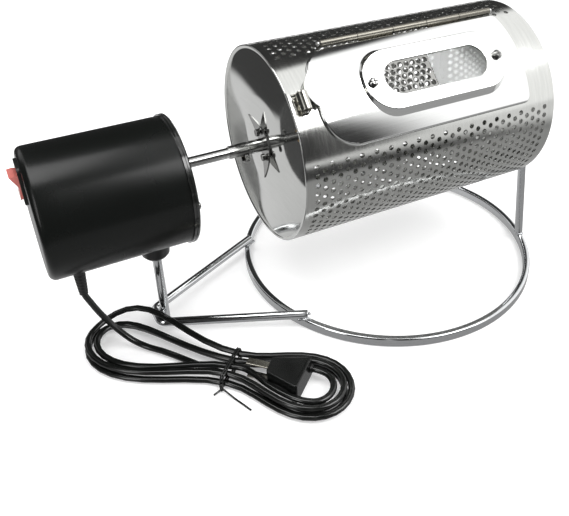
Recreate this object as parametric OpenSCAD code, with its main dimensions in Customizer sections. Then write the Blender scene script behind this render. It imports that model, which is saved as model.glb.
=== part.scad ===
// Home coffee bean roaster: a see-through steel drum turned by a small geared motor on a wire stand.
// X runs along the drum's axle from the motor to the far bearing, Z is up, and the front is at -Y.
// Millimetres. The origin is on the table, under the middle of the roaster without its lead.

/* [Drum] */
// Outer diameter of the drum's shell
drum_d = 150; // [140:1:156]
// Length of the drum over its end rims
drum_len = 219; // [205:1:230]
// Thickness of the drum's steel sheet
sheet_t = 0.8; // [0.6:0.1:1.2]
// Height of the axle above the table
axle_h = 137.5; // [130:0.5:150]
// How far each end disc lies inside its rim
disc_inset = 3; // [2:0.5:5]
// Height of the mixing blades inside the drum
blade_h = 14; // [8:1:18]
// Number of mixing blades
blade_count = 3; // [2:1:3]

/* [Door] */
// Distance from the drum's motor end to the door
door_gap_near = 19; // [17:0.5:24]
// Distance from the door to the drum's far end
door_gap_far = 26; // [20:0.5:32]
// Width of the door, measured straight across
door_w = 75; // [70:1:80]
// Turn of the door's middle from straight up towards the front, in degrees
door_turn = 43.4; // [42:0.2:45]
// How far the door stands out from the shell
door_rise = 2.5; // [2.2:0.1:3.2]
// Radius of the door's corners at the latch end
door_corner_r = 27; // [18:1:30]
// How far the door laps over the sheet round the opening
door_lap = 7; // [6:0.5:9]
// Outer diameter of the hinge's rolled knuckles
knuckle_d = 5.6; // [5:0.2:6.2]
// Diameter of the hinge pin
hinge_pin_d = 2.5; // [2:0.1:3]
// How far the door opens, in degrees
door_open = 110; // [60:5:120]

/* [Window] */
// Distance from the drum's motor end to the window's middle
window_x = 116.3; // [113:0.1:118]
// Length of the window's raised frame
frame_len = 126; // [120:1:130]
// Width of the window's raised frame
frame_w = 51; // [48:1:53]
// Height of the frame's flat face above the door
frame_rise = 2.3; // [2.2:0.1:3.5]
// Width of the sloping wall round the frame
frame_slope = 3; // [2:0.5:4]
// Distance from the opening's end to the frame's end
frame_margin = 19.5; // [18:0.5:22]
// Distance from the frame's end to its screw
frame_screw_in = 9.4; // [9:0.1:10]
// Width of the opening in the frame
view_w = 25; // [22:0.5:27]
// Thickness of the window glass
glass_t = 1.1; // [0.9:0.1:1.2]
// Distance between the vent's hole centres
vent_pitch = 5.2; // [4.8:0.1:6]
// Diameter of the vent's holes
vent_hole_d = 4.2; // [3:0.1:4.4]

/* [Axle] */
// Diameter of the motor's output shaft and of the far stub
shaft_d = 8; // [6:0.5:9]
// Running clearance of a shaft in its bush, on the radius
shaft_play = 0.05; // [0.03:0.01:0.08]
// Outer diameter of the drive sleeve
sleeve_d = 10; // [10:0.5:12]
// Length of the drive sleeve outside the drum
sleeve_len = 26.5; // [22:0.5:30]
// Span of the wing plate from tip to tip
wing_span = 49; // [40:1:54]
// Width of the wing plate at its middle
wing_w = 17; // [15:0.5:20]

/* [Motor unit] */
// Outer diameter of the motor's housing
housing_d = 93.4; // [88:0.2:96]
// Length of the housing without its front cover
housing_len = 98; // [92:1:104]
// Wall of the plastic housing
housing_wall = 2; // [1.5:0.1:3]
// Width of the front cover's rim
cover_rim = 4.4; // [3.5:0.1:6]
// How far the cover's rim stands out past the housing, on the radius
cover_lip = 1.2; // [0.8:0.1:2]
// Distance from the front cover to the drum's motor end
motor_gap = 66.6; // [60:0.2:75]
// How far the output shaft lies above the housing's middle
shaft_offset = 10; // [8:0.5:12]
// Diameter of the geared motor's can
can_d = 60; // [56:1:62]
// Length of the stator's can
can_len = 32; // [28:1:36]
// Length of the gear case
gear_case_len = 26; // [25:0.5:30]
// Module of the gear teeth
gear_module = 0.6; // [0.55:0.05:0.65]
// Height of the rocker switch's flange
switch_h = 28; // [24:1:30]
// Width of the rocker switch's flange
switch_w = 21; // [18:1:24]
// How far the rocker tips to each side, in degrees
rocker_tip = 12; // [8:1:14]

/* [Stand] */
// Outer diameter of the ring that stands on the table
ring_d = 256.4; // [245:0.2:265]
// Width of the ring's flat bar
ring_w = 5.4; // [4:0.2:7]
// Height of the ring's flat bar
ring_h = 8; // [6:0.5:10]
// Diameter of the stand's round rods
rod_d = 7; // [6:0.2:8]
// Distance from the drum's motor end to the motor's post
post_x = 91; // [88:0.5:98]
// Turn of each far leg's foot round the ring, in degrees
leg_turn = 22; // [18:1:26]
// Lean of the far legs towards each other, in degrees
leg_lean = 8.5; // [6:0.5:11]
// Distance from the drum's far end to the far legs
leg_gap = 14; // [12:0.5:18]

/* [Mains lead] */
// Diameter of the mains lead
lead_d = 5; // [4.6:0.1:5.2]

/* [Hidden] */

$fn = 96;
seat = 0.3;                 // gap between curved faces that pass each other
bend_in = 0.3;              // how far a rod's bend runs on inside the straight parts beside it
bend_d = rod_d - 0.06;      // a rod is drawn a little thinner where it is bent
face = 0.02;                // overlap that joins two shapes of one piece
drum_r = drum_d / 2;
rod_r = rod_d / 2;
shaft_r = shaft_d / 2;

module at_home() { translate([-home_x, 0, 0]) children(); }
module on_axle(x) { translate([x, 0, axle_h]) rotate([0, 90, 0]) children(); }
module on_motor(x) { translate([x, 0, axle_h - shaft_offset]) rotate([0, 90, 0]) children(); }
// A radial frame on the drum: X along the axle, Z outwards, -Y down the front of the drum
module radial(turn) { translate([0, 0, axle_h]) rotate([turn, 0, 0]) children(); }
module tube_x(r_out, r_in, len) {
    difference() {
        cylinder(r = r_out, h = len);
        translate([0, 0, -1]) cylinder(r = r_in, h = len + 2);
    }
}
// Part of a ring round the axle, between two turns measured from straight up towards the front
module band(r_in, r_out, x0, x1, turn0, turn1) {
    translate([0, 0, axle_h]) rotate([0, 90, 0]) rotate([0, 0, turn0 + 180])
        rotate_extrude(angle = turn1 - turn0) translate([r_in, x0]) square([r_out - r_in, x1 - x0]);
}
module stadium(half, r) {
    union() {
        translate([-half, -r]) square([2 * half, 2 * r]);
        for (side = [-1, 1]) translate([side * half, 0]) circle(r = r);
    }
}
// A stadium block whose walls lean inwards from r_low at the bottom to r_top at the top
module sloped_stadium(half, r_low, r_top, h) {
    for (side = [-1, 1]) translate([side * half, 0, 0]) cylinder(r1 = r_low, r2 = r_top, h = h);
    translate([-half, 0, 0]) rotate([90, 0, 90]) linear_extrude(2 * half)
        polygon([[-r_low, 0], [r_low, 0], [r_top, h], [-r_top, h]]);
}
module pan_screw(head_d, head_h, shank_d, shank_len) {
    difference() {
        union() {
            cylinder(d = head_d, h = head_h * 0.55);
            translate([0, 0, head_h * 0.55]) cylinder(d1 = head_d, d2 = head_d * 0.62, h = head_h * 0.45);
            translate([0, 0, -shank_len]) cylinder(d = shank_d, h = shank_len + face);
        }
        for (turn = [0, 90]) rotate([0, 0, turn])
            translate([-head_d * 0.3, -head_d * 0.06, head_h * 0.6])
                cube([head_d * 0.6, head_d * 0.12, head_h]);
    }
}

// ---- Stand ----
ring_r = ring_d / 2 - ring_w / 2;
leg_x = drum_len + leg_gap;
ring_x = leg_x - ring_r * cos(leg_turn);      // the ring lies where the far legs stand on it
cross_turn = 153;                             // where the hairpin crosses the ring
cross_y = ring_r * sin(cross_turn);
cross_x = ring_x + ring_r * cos(cross_turn);
bend_x = -post_x - rod_d + 0.5;               // the hairpin's cross run, behind the post
bend_y = 8.9;
bend_drop = 3;                                // the hairpin hangs a little at the motor's end
rod_seat = 0.4;                               // depth of the flat where a rod sits on the ring
cross_z = ring_h + rod_r - rod_seat;
hair_dx = cross_x - bend_x;
hair_tilt = atan(bend_drop / hair_dx);
hair_len = hair_dx / cos(hair_tilt);
hair_turn = atan((cross_y - bend_y) / hair_len);
hair_bend_r = rod_d;
hair_past = 3;
leg_foot_y = ring_r * sin(leg_turn);
bush_d = 12;
bush_len = 8;
saddle_wall = 1.5;
arch_top_z = axle_h - bush_d / 2 - saddle_wall - rod_r;
arch_r = (leg_foot_y * cos(leg_lean) - (arch_top_z - ring_h) * sin(leg_lean)) / (1 - sin(leg_lean));
arch_z = arch_top_z - arch_r;
leg_len = (arch_z + arch_r * sin(leg_lean) - ring_h) / cos(leg_lean);
arch_more = bend_in / arch_r * 180 / PI;

module base_ring() {
    edge = 1.2;
    color("silver") translate([ring_x, 0, 0]) rotate_extrude($fn = 180) translate([ring_r - ring_w / 2, 0])
        union() {
            translate([0, edge]) square([ring_w, ring_h - 2 * edge]);
            translate([edge, 0]) square([ring_w - 2 * edge, ring_h]);
            for (u = [edge, ring_w - edge], v = [edge, ring_h - edge]) translate([u, v]) circle(r = edge, $fn = 24);
        }
}
hair_corner = 90 - hair_turn;
hair_trim = hair_bend_r * tan(hair_corner / 2);
hair_more = bend_in / hair_bend_r * 180 / PI;
module hairpin_side() {
    run = (cross_y - bend_y) / sin(hair_turn);
    translate([0, bend_y, 0]) rotate([0, 0, hair_turn]) {
        translate([hair_trim, 0, 0]) rotate([0, 90, 0]) cylinder(d = rod_d, h = run - hair_trim + hair_past);
        translate([hair_trim, -hair_bend_r, 0]) rotate([0, 0, 90 - hair_more])
            rotate_extrude(angle = hair_corner + 2 * hair_more) translate([hair_bend_r, 0]) circle(d = bend_d);
    }
}
module hairpin_rod() {
    color("silver") difference() {
        translate([bend_x, 0, cross_z - bend_drop]) rotate([0, -hair_tilt, 0]) {
            hairpin_side();
            mirror([0, 1, 0]) hairpin_side();
            translate([0, hair_trim - bend_y, 0]) rotate([-90, 0, 0]) cylinder(d = rod_d, h = 2 * (bend_y - hair_trim));
        }
        translate([ring_x, 0, 0]) rotate_extrude() translate([ring_r - ring_w / 2, 0]) square([ring_w, ring_h]);
        translate([-post_x, 0, 0]) cylinder(d = rod_d, h = 40);
    }
}
collar_h = 14;
collar_z = axle_h - shaft_offset - housing_d / 2 - collar_h;
post_bottom = cross_z - bend_drop - rod_r;
stud_d = 6;
nut_seat_z = axle_h - shaft_offset - housing_d / 2 + housing_wall;
nut_h = 5;
module motor_post() {
    color("silver") translate([-post_x, 0, 0]) {
        translate([0, 0, post_bottom]) cylinder(d = rod_d, h = collar_z + 6 - post_bottom);
        translate([0, 0, collar_z + 5]) cylinder(d = stud_d, h = nut_seat_z + nut_h + 2 - collar_z - 5);
    }
}
module far_leg() {
    reach = 3;
    translate([0, -leg_foot_y, ring_h]) rotate([-leg_lean, 0, 0]) translate([0, 0, -reach])
        cylinder(d = rod_d, h = leg_len + reach);
}
module far_arch() {
    color("silver") difference() {
        translate([leg_x, 0, 0]) {
            far_leg();
            mirror([0, 1, 0]) far_leg();
            translate([0, 0, arch_z]) rotate([90, 0, 90]) rotate([0, 0, leg_lean - arch_more])
                rotate_extrude(angle = 180 - 2 * leg_lean + 2 * arch_more) translate([arch_r, 0]) circle(d = bend_d);
        }
        translate([leg_x - 20, -100, ring_h - 20]) cube([40, 200, 20]);
    }
}
module bearing_saddle() {
    saddle_w = bush_d + 2 * 3;
    color("silver") difference() {
        translate([leg_x - bush_len / 2, -saddle_w / 2, arch_top_z]) cube([bush_len, saddle_w, axle_h + 5 - arch_top_z]);
        on_axle(leg_x - bush_len) cylinder(d = bush_d, h = 2 * bush_len);
        translate([leg_x - bush_len, -bush_d / 2, axle_h]) cube([2 * bush_len, bush_d, 10]);
        translate([leg_x, 0, arch_z]) rotate([90, 0, 90]) rotate_extrude() translate([arch_r, 0]) circle(d = bend_d);
    }
}
module bearing_bush() {
    color("goldenrod") on_axle(leg_x - bush_len / 2) tube_x(bush_d / 2, shaft_r + shaft_play, bush_len);
}

// ---- Motor housing ----
face_x = -motor_gap;
cover_back_x = face_x - cover_rim;
back_x = cover_back_x - housing_len;
housing_r = housing_d / 2;
motor_z = axle_h - shaft_offset;
back_wall = 2.5;
back_round = 5;
cover_t = 2.5;
spigot_len = 5;
screw_ring_r = housing_r - housing_wall - 2.6;
cover_boss_r = 3.4;
cover_screw_d = 3;
cover_turns = [30, 150, 270];
switch_z = motor_z + 26.4;
switch_cut_h = switch_h - 5;
switch_cut_w = switch_w - 5;
exit_x = back_x + 20.5;
exit_y = -8;
exit_z = motor_z - sqrt(housing_r * housing_r - exit_y * exit_y);
grommet_d = 9;
module housing_outside() {
    rotate_extrude() union() {
        translate([0, back_round]) square([housing_r, housing_len - back_round]);
        square([housing_r - back_round, back_round + face]);
        translate([housing_r - back_round, back_round]) circle(r = back_round);
    }
}
module cover_bosses(r, x0, x1) {
    for (turn = cover_turns) on_motor(x0) rotate([0, 0, turn]) translate([screw_ring_r, 0, 0]) cylinder(r = r, h = x1 - x0);
}
module housing_shell() {
    color([0.06, 0.06, 0.06]) difference() {
        union() {
            difference() {
                on_motor(back_x) housing_outside();
                on_motor(back_x + back_wall) cylinder(r = housing_r - housing_wall, h = housing_len);
            }
            difference() {
                cover_bosses(cover_boss_r, cover_back_x - 14, cover_back_x);
                on_motor(back_x - 1) tube_x(housing_r + 20, housing_r - face, housing_len + 2);
            }
        }
        on_motor(cover_back_x - spigot_len) tube_x(housing_r - housing_wall + face, housing_r - housing_wall - 2.2, spigot_len + 1);
        cover_bosses(cover_screw_d / 2, cover_back_x - 12, cover_back_x + 1);
        translate([back_x - 1, -switch_cut_w / 2, switch_z - switch_cut_h / 2]) cube([back_wall + 2, switch_cut_w, switch_cut_h]);
        translate([-post_x, 0, collar_z]) cylinder(d = stud_d, h = 40);
        translate([exit_x, exit_y, exit_z - 2]) cylinder(d = grommet_d, h = 12);
    }
}
module front_cover() {
    rim_r = housing_r + cover_lip;
    color([0.06, 0.06, 0.06]) difference() {
        union() {
            difference() {
                union() {
                    on_motor(cover_back_x) cylinder(r = rim_r, h = cover_rim - 1);
                    on_motor(face_x - 1) cylinder(r1 = rim_r, r2 = rim_r - 1, h = 1);
                }
                on_motor(cover_back_x - 1) cylinder(r = housing_r - housing_wall - 2.4, h = 1 + cover_rim - cover_t);
                on_motor(cover_back_x + 1.3) tube_x(rim_r + 2, rim_r - 0.6, 0.8);
            }
            difference() {
                on_motor(cover_back_x - spigot_len + 0.5) tube_x(housing_r - housing_wall - 0.1, housing_r - housing_wall - 2, spigot_len);
                cover_bosses(cover_boss_r + 0.2, cover_back_x - spigot_len - 1, cover_back_x + 2);
            }
            cover_bosses(cover_boss_r, cover_back_x + 0.1, face_x - cover_t + 0.3);
        }
        on_axle(face_x - 10) cylinder(r = output_bush_r, h = 20);
        cover_bosses(cover_screw_d / 2 + 0.1, cover_back_x - 10, face_x + 1);
        for (side = [-1, 1]) on_motor(face_x - 10) translate([0, side * ear_y, 0]) cylinder(d = ear_screw_d + 0.2, h = 20);
    }
}
module cover_screws() {
    color("silver") for (turn = cover_turns)
        on_motor(face_x) rotate([0, 0, turn]) translate([screw_ring_r, 0, 0]) pan_screw(5.6, 2, cover_screw_d - 0.1, 13);
}
module post_collar() {
    color([0.08, 0.08, 0.08]) difference() {
        translate([-post_x, 0, collar_z]) {
            cylinder(r1 = 8.5, r2 = 10.5, h = 2.5);
            translate([0, 0, 2.5]) cylinder(r1 = 10.5, r2 = 12.5, h = collar_h + 4 - 2.5);
        }
        on_motor(back_x - 1) cylinder(r = housing_r, h = housing_len + 2);
        translate([-post_x, 0, collar_z - 1]) cylinder(d = rod_d, h = 7);
        translate([-post_x, 0, collar_z]) cylinder(d = stud_d, h = 40);
    }
}
module post_nut() {
    color("silver") translate([-post_x, 0, nut_seat_z]) difference() {
        cylinder(d = 11.5, h = nut_h, $fn = 6);
        translate([0, 0, -1]) cylinder(d = stud_d, h = nut_h + 2);
        translate([0, 0, motor_z - nut_seat_z]) rotate([0, 90, 0])
            translate([0, 0, -20]) tube_x(housing_r + 5, housing_r - housing_wall, 40);
    }
}

// ---- Geared motor ----
ear_y = can_d / 2 + 4;
ear_screw_d = 4;
case_front_x = face_x - cover_t;
case_back_x = case_front_x - gear_case_len;
can_back_x = case_back_x - can_len;
case_wall = 2;
mid_plate = 1.5;
output_bush_r = shaft_r + 3;
// Gears: a pinion of 10 teeth drives a wheel of 40, three times over
pinion_teeth = 10;
wheel_teeth = 40;
mesh_dist = gear_module * (pinion_teeth + wheel_teeth) / 2 + 0.2;
gear_thick = 3;
gear_gap = 1;
layer_x = [for (i = [0:2]) case_back_x + mid_plate + gear_gap + i * (gear_thick + gear_gap)];
first_turn = -60;                                 // from the rotor to the first gear, in the YZ plane
rotor_yz = [0, motor_z];
first_yz = rotor_yz + mesh_dist * [cos(first_turn), sin(first_turn)];
axle_yz = [0, axle_h];
reach_yz = axle_yz - first_yz;
reach_half = norm(reach_yz) / 2;
second_yz = first_yz + reach_yz / 2
    + sqrt(mesh_dist * mesh_dist - reach_half * reach_half) * [reach_yz[1], -reach_yz[0]] / norm(reach_yz);
second_turn = atan2(second_yz[1] - first_yz[1], second_yz[0] - first_yz[0]);
output_turn = atan2(axle_yz[1] - second_yz[1], axle_yz[0] - second_yz[0]);
gear_pin_d = 2;
gear_ratio = wheel_teeth / pinion_teeth;
// Turn of a wheel whose gap meets a pinion's tooth, for a pinion standing at pinion_turn
function mesh_turn(line, pinion_turn) = line + 180 + 180 / wheel_teeth - (pinion_turn - line) / gear_ratio;
rotor_phase = first_turn;
first_phase = mesh_turn(first_turn, rotor_phase);
second_phase = mesh_turn(second_turn, first_phase);
output_phase = mesh_turn(output_turn, second_phase);
// In this frame angles run from +Y towards +Z
module in_gearbox(yz, x, turn) { translate([x, yz[0], yz[1]]) rotate([90, 0, 90]) rotate([0, 0, turn]) children(); }
tooth_slack = 0.28;
// Half of a tooth's width in degrees, as a share of a quarter of the pitch
function half_at(teeth, share) = (90 / teeth) * share - tooth_slack / (gear_module * teeth) * 180 / PI;
module toothed(teeth, thick) {
    pitch_r = gear_module * teeth / 2;
    tip = pitch_r + 0.85 * gear_module;
    root = pitch_r - 1.15 * gear_module;
    cylinder(r = root, h = thick);
    for (i = [0:teeth - 1]) rotate([0, 0, i * 360 / teeth]) linear_extrude(thick)
        polygon([
            for (k = [[root * 0.9, -1.3], [pitch_r, -1], [tip, -0.55], [tip, 0.55], [pitch_r, 1], [root * 0.9, 1.3]])
                let (a = sign(k[1]) * half_at(teeth, abs(k[1]))) k[0] * [cos(a), sin(a)]
        ]);
}
module stator_can() {
    color("silver") difference() {
        on_motor(can_back_x) cylinder(d = can_d, h = can_len);
        on_motor(can_back_x + 1.2) cylinder(d = can_d - 2.4, h = can_len);
        on_motor(can_back_x - 1) cylinder(d = gear_pin_d, h = 5);
    }
}
module stator_coil() {
    color("peru") on_motor(case_back_x - 25) tube_x(can_d / 2 - 1.2, 17, 22);
}
module motor_rotor() {
    color("dimgray") {
        on_motor(case_back_x - 24) cylinder(d = 30, h = 20);
        on_motor(can_back_x) cylinder(d = gear_pin_d - 0.1, h = layer_x[0] - can_back_x + face);
        in_gearbox(rotor_yz, layer_x[0], rotor_phase) toothed(pinion_teeth, gear_thick);
    }
}
module gear_case() {
    color("lightgray") difference() {
        union() {
            on_motor(case_back_x) cylinder(d = can_d, h = gear_case_len);
            for (side = [-1, 1]) on_motor(case_front_x - 4) translate([0, side * ear_y, 0]) cylinder(d = 9, h = 4);
            on_motor(case_front_x - 4) translate([-4.5, -ear_y, 0]) cube([9, 2 * ear_y, 4]);
        }
        on_motor(case_back_x + mid_plate) cylinder(d = can_d - 2 * case_wall, h = gear_case_len - mid_plate - 3);
        on_motor(case_back_x - 1) cylinder(d = 5, h = 4);
        for (yz = [first_yz, second_yz]) in_gearbox(yz, case_back_x - 1, 0) cylinder(d = gear_pin_d, h = gear_case_len);
        on_axle(case_front_x - 10) cylinder(r = output_bush_r, h = 20);
        for (side = [-1, 1]) on_motor(case_front_x - 10) translate([0, side * ear_y, 0]) cylinder(d = ear_screw_d, h = 20);
    }
}
module gear_axles() {
    color("silver") for (yz = [first_yz, second_yz])
        in_gearbox(yz, case_back_x, 0) cylinder(d = gear_pin_d, h = gear_case_len - 1);
}
module first_gear() {
    color("white") difference() {
        union() {
            in_gearbox(first_yz, layer_x[0], first_phase) toothed(wheel_teeth, gear_thick);
            in_gearbox(first_yz, layer_x[0] + gear_thick - face, 0) cylinder(d = 4, h = gear_gap + 2 * face);
            in_gearbox(first_yz, layer_x[1], first_phase) toothed(pinion_teeth, gear_thick);
        }
        in_gearbox(first_yz, case_back_x, 0) cylinder(r = gear_pin_d / 2 + shaft_play, h = gear_case_len);
    }
}
module second_gear() {
    color("white") difference() {
        union() {
            in_gearbox(second_yz, layer_x[1], second_phase) toothed(wheel_teeth, gear_thick);
            in_gearbox(second_yz, layer_x[1] + gear_thick - face, 0) cylinder(d = 4, h = gear_gap + 2 * face);
            in_gearbox(second_yz, layer_x[2], second_phase) toothed(pinion_teeth, gear_thick);
        }
        in_gearbox(second_yz, case_back_x, 0) cylinder(r = gear_pin_d / 2 + shaft_play, h = gear_case_len);
    }
}
module output_gear() {
    color("khaki") difference() {
        in_gearbox(axle_yz, layer_x[2], output_phase) toothed(wheel_teeth, gear_thick);
        in_gearbox(axle_yz, layer_x[2] - 1, 0) cylinder(r = shaft_r, h = gear_thick + 2);
    }
}
module output_bush() {
    color("goldenrod") on_axle(case_front_x - 3) tube_x(output_bush_r, shaft_r + shaft_play, 3 + cover_t + 1);
}
module motor_screws() {
    color("silver") for (side = [-1, 1])
        on_motor(face_x) translate([0, side * ear_y, 0]) pan_screw(7, 2.4, ear_screw_d - 0.1, cover_t + 4);
}

// ---- Rocker switch ----
flange_t = 2;
rocker_r = 8.6;                                  // radius of the rocker's round underside
rocker_w = 13;
rocker_pin_x = back_x - flange_t + 1.5;
module switch_body() {
    corner = 4;
    color([0.1, 0.1, 0.1]) difference() {
        union() {
            translate([back_x - flange_t, 0, switch_z]) rotate([0, 90, 0]) linear_extrude(flange_t) union() {
                square([switch_h - 2 * corner, switch_w], center = true);
                square([switch_h, switch_w - 2 * corner], center = true);
                for (u = [-1, 1], v = [-1, 1]) translate([u * (switch_h / 2 - corner), v * (switch_w / 2 - corner)])
                    circle(r = corner, $fn = 48);
            }
            translate([back_x - face, -switch_cut_w / 2 + 0.1, switch_z - switch_cut_h / 2 + 0.1])
                cube([20, switch_cut_w - 0.2, switch_cut_h - 0.2]);
        }
        translate([rocker_pin_x, 0, switch_z]) rotate([90, 0, 0])
            translate([0, 0, -rocker_w / 2 - 0.4]) cylinder(r = rocker_r + 1.4, h = rocker_w + 0.8);
    }
    color([0.1, 0.1, 0.1]) translate([rocker_pin_x, 0, switch_z]) rotate([90, 0, 0])
        translate([0, 0, -rocker_w / 2 - 0.5]) cylinder(d = 2, h = rocker_w + 1);
}
module switch_rocker() {
    color([0.85, 0.1, 0.08]) translate([rocker_pin_x, 0, switch_z]) rotate([90, 0, 0]) difference() {
        translate([0, 0, -rocker_w / 2]) linear_extrude(rocker_w) difference() {
            rotate([0, 0, rocker_tip]) polygon([[3, -6], [3, 6], [-1.5, rocker_r], [-5.2, rocker_r + 0.4], [-2.6, 0],
                [-5.2, -rocker_r - 0.4], [-1.5, -rocker_r]]);
            circle(d = 2.1, $fn = 48);
        }
    }
}
module switch_terminals() {
    color("gold") for (side = [-1, 0, 1])
        translate([back_x + 20 - face, -2.4, switch_z + side * 7.5 - 0.4]) cube([8, 4.8, 0.8]);
}
module lead_grommet() {
    collar = 2;
    color([0.05, 0.05, 0.05]) translate([exit_x, exit_y, exit_z]) difference() {
        union() {
            translate([0, 0, -4]) cylinder(d = grommet_d, h = 12);
            translate([0, 0, -4]) cylinder(d1 = grommet_d, d2 = grommet_d + 3, h = collar + 1.2);
            translate([0, 0, -24]) cylinder(d1 = lead_d + 2, d2 = grommet_d, h = 20 + face);
        }
        translate([0, 0, -25]) cylinder(d = lead_d + 0.2, h = 40);
        translate([0, 0, motor_z - exit_z]) translate([0, -exit_y, 0]) rotate([0, 90, 0]) translate([0, 0, -20])
            difference() {
                tube_x(housing_r, housing_r - housing_wall, 40);
                translate([motor_z - exit_z, exit_y, 20]) rotate([0, -90, 0]) translate([0, 0, -60]) cylinder(d = grommet_d, h = 120);
            }
    }
}

// ---- Drive ----
disc_x = disc_inset;                              // outer face of the near disc
hub_flange_d = 30;
hub_flange_t = 1.5;
sleeve_x = -sleeve_len;
shaft_back_x = layer_x[2] - 0.5;
shaft_front_x = -0.5;
thumb_x = -14;
drive_turn = -31;                                 // turn of the wing plate's upper tip
wing_screw_r = 9.5;
wing_screw_d = 3;
module output_shaft() {
    color("silver") difference() {
        on_axle(shaft_back_x) cylinder(r = shaft_r, h = shaft_front_x - shaft_back_x);
        radial(drive_turn + 180) translate([thumb_x - 6, -6, shaft_r - 0.5]) cube([12, 12, 4]);
    }
}
module drive_sleeve() {
    inside_x = disc_x + sheet_t;
    color("silver") difference() {
        union() {
            on_axle(sleeve_x) cylinder(d = sleeve_d, h = inside_x - sleeve_x + face);
            on_axle(inside_x) cylinder(d = hub_flange_d, h = hub_flange_t);
        }
        on_axle(sleeve_x - 1) cylinder(r = shaft_r, h = shaft_front_x - sleeve_x + 1);
        on_axle(sleeve_x + 15) tube_x(sleeve_d, sleeve_d / 2 - 0.4, 1);
        on_axle(sleeve_x + 4) tube_x(sleeve_d, sleeve_d / 2 - 0.3, 0.6);
        radial(drive_turn + 180) translate([thumb_x, 0, 0]) cylinder(d = 4, h = 20);
        for (turn = [drive_turn, drive_turn + 180]) radial(turn) translate([0, 0, wing_screw_r])
            rotate([0, 90, 0]) cylinder(d = wing_screw_d, h = 20);
    }
}
module thumb_screw() {
    color("silver") radial(drive_turn + 180) translate([thumb_x, 0, 0]) {
        translate([0, 0, shaft_r - 0.5]) cylinder(d = 4, h = 2);
        translate([0, 0, sleeve_d / 2 + 0.2]) cylinder(d = 7.4, h = 3.4, $fn = 6);
        translate([0, 0, sleeve_d / 2 + 3.6]) cylinder(d1 = 6.2, d2 = 4.4, h = 1);
        translate([0, 0, shaft_r]) cylinder(d = 4, h = sleeve_d / 2 + 1 - shaft_r);
    }
}
wing_t = 1.2;
wing_half = wing_span / 2;
wing_bow = 6;                                     // how far the tips reach towards the motor
wing_bow_r = (wing_half * wing_half + wing_bow * wing_bow) / (2 * wing_bow);
wing_leaf_r = (wing_half * wing_half + wing_w * wing_w / 4) / wing_w;
wing_screw_lift = 2.75;                           // the screws' heads bear on the bowed plate
module wing_plate() {
    color("silver") radial(drive_turn) difference() {
        intersection() {
            translate([disc_x - wing_bow_r, 0, 0]) rotate([90, 0, 0]) translate([0, 0, -wing_w])
                tube_x(wing_bow_r, wing_bow_r - wing_t, 2 * wing_w);
            translate([-30, 0, 0]) rotate([90, 0, 90]) linear_extrude(40) intersection() {
                translate([wing_leaf_r - wing_w / 2, 0]) circle(r = wing_leaf_r);
                translate([wing_w / 2 - wing_leaf_r, 0]) circle(r = wing_leaf_r);
            }
        }
        translate([-40, 0, 0]) rotate([0, 90, 0]) cylinder(r = sleeve_d / 2, h = 60);
        for (side = [-1, 1]) translate([-20, 0, side * wing_screw_r]) rotate([0, 90, 0]) cylinder(d = wing_screw_d, h = 40);
    }
}
module wing_screws() {
    color("silver") for (turn = [drive_turn, drive_turn + 180]) radial(turn) translate([disc_x - wing_screw_lift, 0, wing_screw_r])
        rotate([0, -90, 0]) difference() {
            union() {
                cylinder(d = 5.4, h = 2.6);
                translate([0, 0, -wing_screw_lift - sheet_t - hub_flange_t])
                    cylinder(d = wing_screw_d, h = wing_screw_lift + 0.1 + sheet_t + hub_flange_t);
            }
            translate([-2, -0.4, 1.8]) cube([4, 0.8, 2]);
        }
}

// ---- Drum ----
shell_r = drum_r;
shell_in_r = drum_r - sheet_t;
disc_wall_r = shell_in_r;
door_x0 = door_gap_near;
door_x1 = drum_len - door_gap_far;
door_r = drum_r + door_rise;
knuckle_r = knuckle_d / 2;
hinge_r = door_r + 0.6;                           // radius of the hinge pin's middle
door_half_turn = asin(door_w / 2 / door_r);
hinge_turn = door_turn - door_half_turn - 3.6;
knuckle_x0 = door_x0 + 23;
knuckle_x1 = door_x1 - 1;
knuckle_count = 5;
knuckle_len = (knuckle_x1 - knuckle_x0) / knuckle_count;
blade_turns = [for (i = [0:blade_count - 1]) 120 + i * 90];
blade_foot = 9;
stub_flange_t = 2;
far_disc_x = drum_len - disc_inset;               // outer face of the far disc
// The door's outline, seen straight on: large corners at the latch end, small ones at the other
module door_outline(grow) {
    half = door_w / 2 + grow;
    big = door_corner_r + grow;
    small = 4 + max(grow, -3);
    x0 = door_x0 - grow;
    x1 = door_x1 + grow;
    translate([x0 + big, -half]) square([x1 - x0 - big - small, 2 * half]);
    translate([x0, -half + big]) square([big + face, 2 * half - 2 * big]);
    translate([x1 - small - face, -half + small]) square([small + face, 2 * half - 2 * small]);
    for (side = [-1, 1]) {
        translate([x0 + big, side * (half - big)]) circle(r = big);
        translate([x1 - small, side * (half - small)]) circle(r = small, $fn = 32);
    }
}
module over_door(grow, low = 20, high = 120) {
    radial(door_turn) translate([0, 0, low]) linear_extrude(high - low) door_outline(grow);
}
module drum_shell() {
    color("gainsboro") difference() {
        on_axle(sheet_t) tube_x(shell_r, shell_in_r, drum_len - 2 * sheet_t);
        over_door(-door_lap);
        band(shell_in_r - 1, shell_r + 1, knuckle_x0 - 1, knuckle_x1 + 1, hinge_turn - 2.2, door_turn);
        for (side = [-1, 1]) radial(catch_turn) translate([catch_x - 3.2, side * catch_rivet_y, shell_r - 5])
            cylinder(d = 2, h = 10);
    }
}
module end_disc() {
    difference() {
        union() {
            translate([0, 0, disc_inset]) cylinder(r = disc_wall_r, h = sheet_t);
            tube_x(disc_wall_r, disc_wall_r - sheet_t, disc_inset + sheet_t);
            tube_x(shell_r, disc_wall_r - sheet_t, sheet_t);
        }
        translate([0, 0, -1]) cylinder(r = sleeve_d / 2, h = 10);
    }
}
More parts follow.
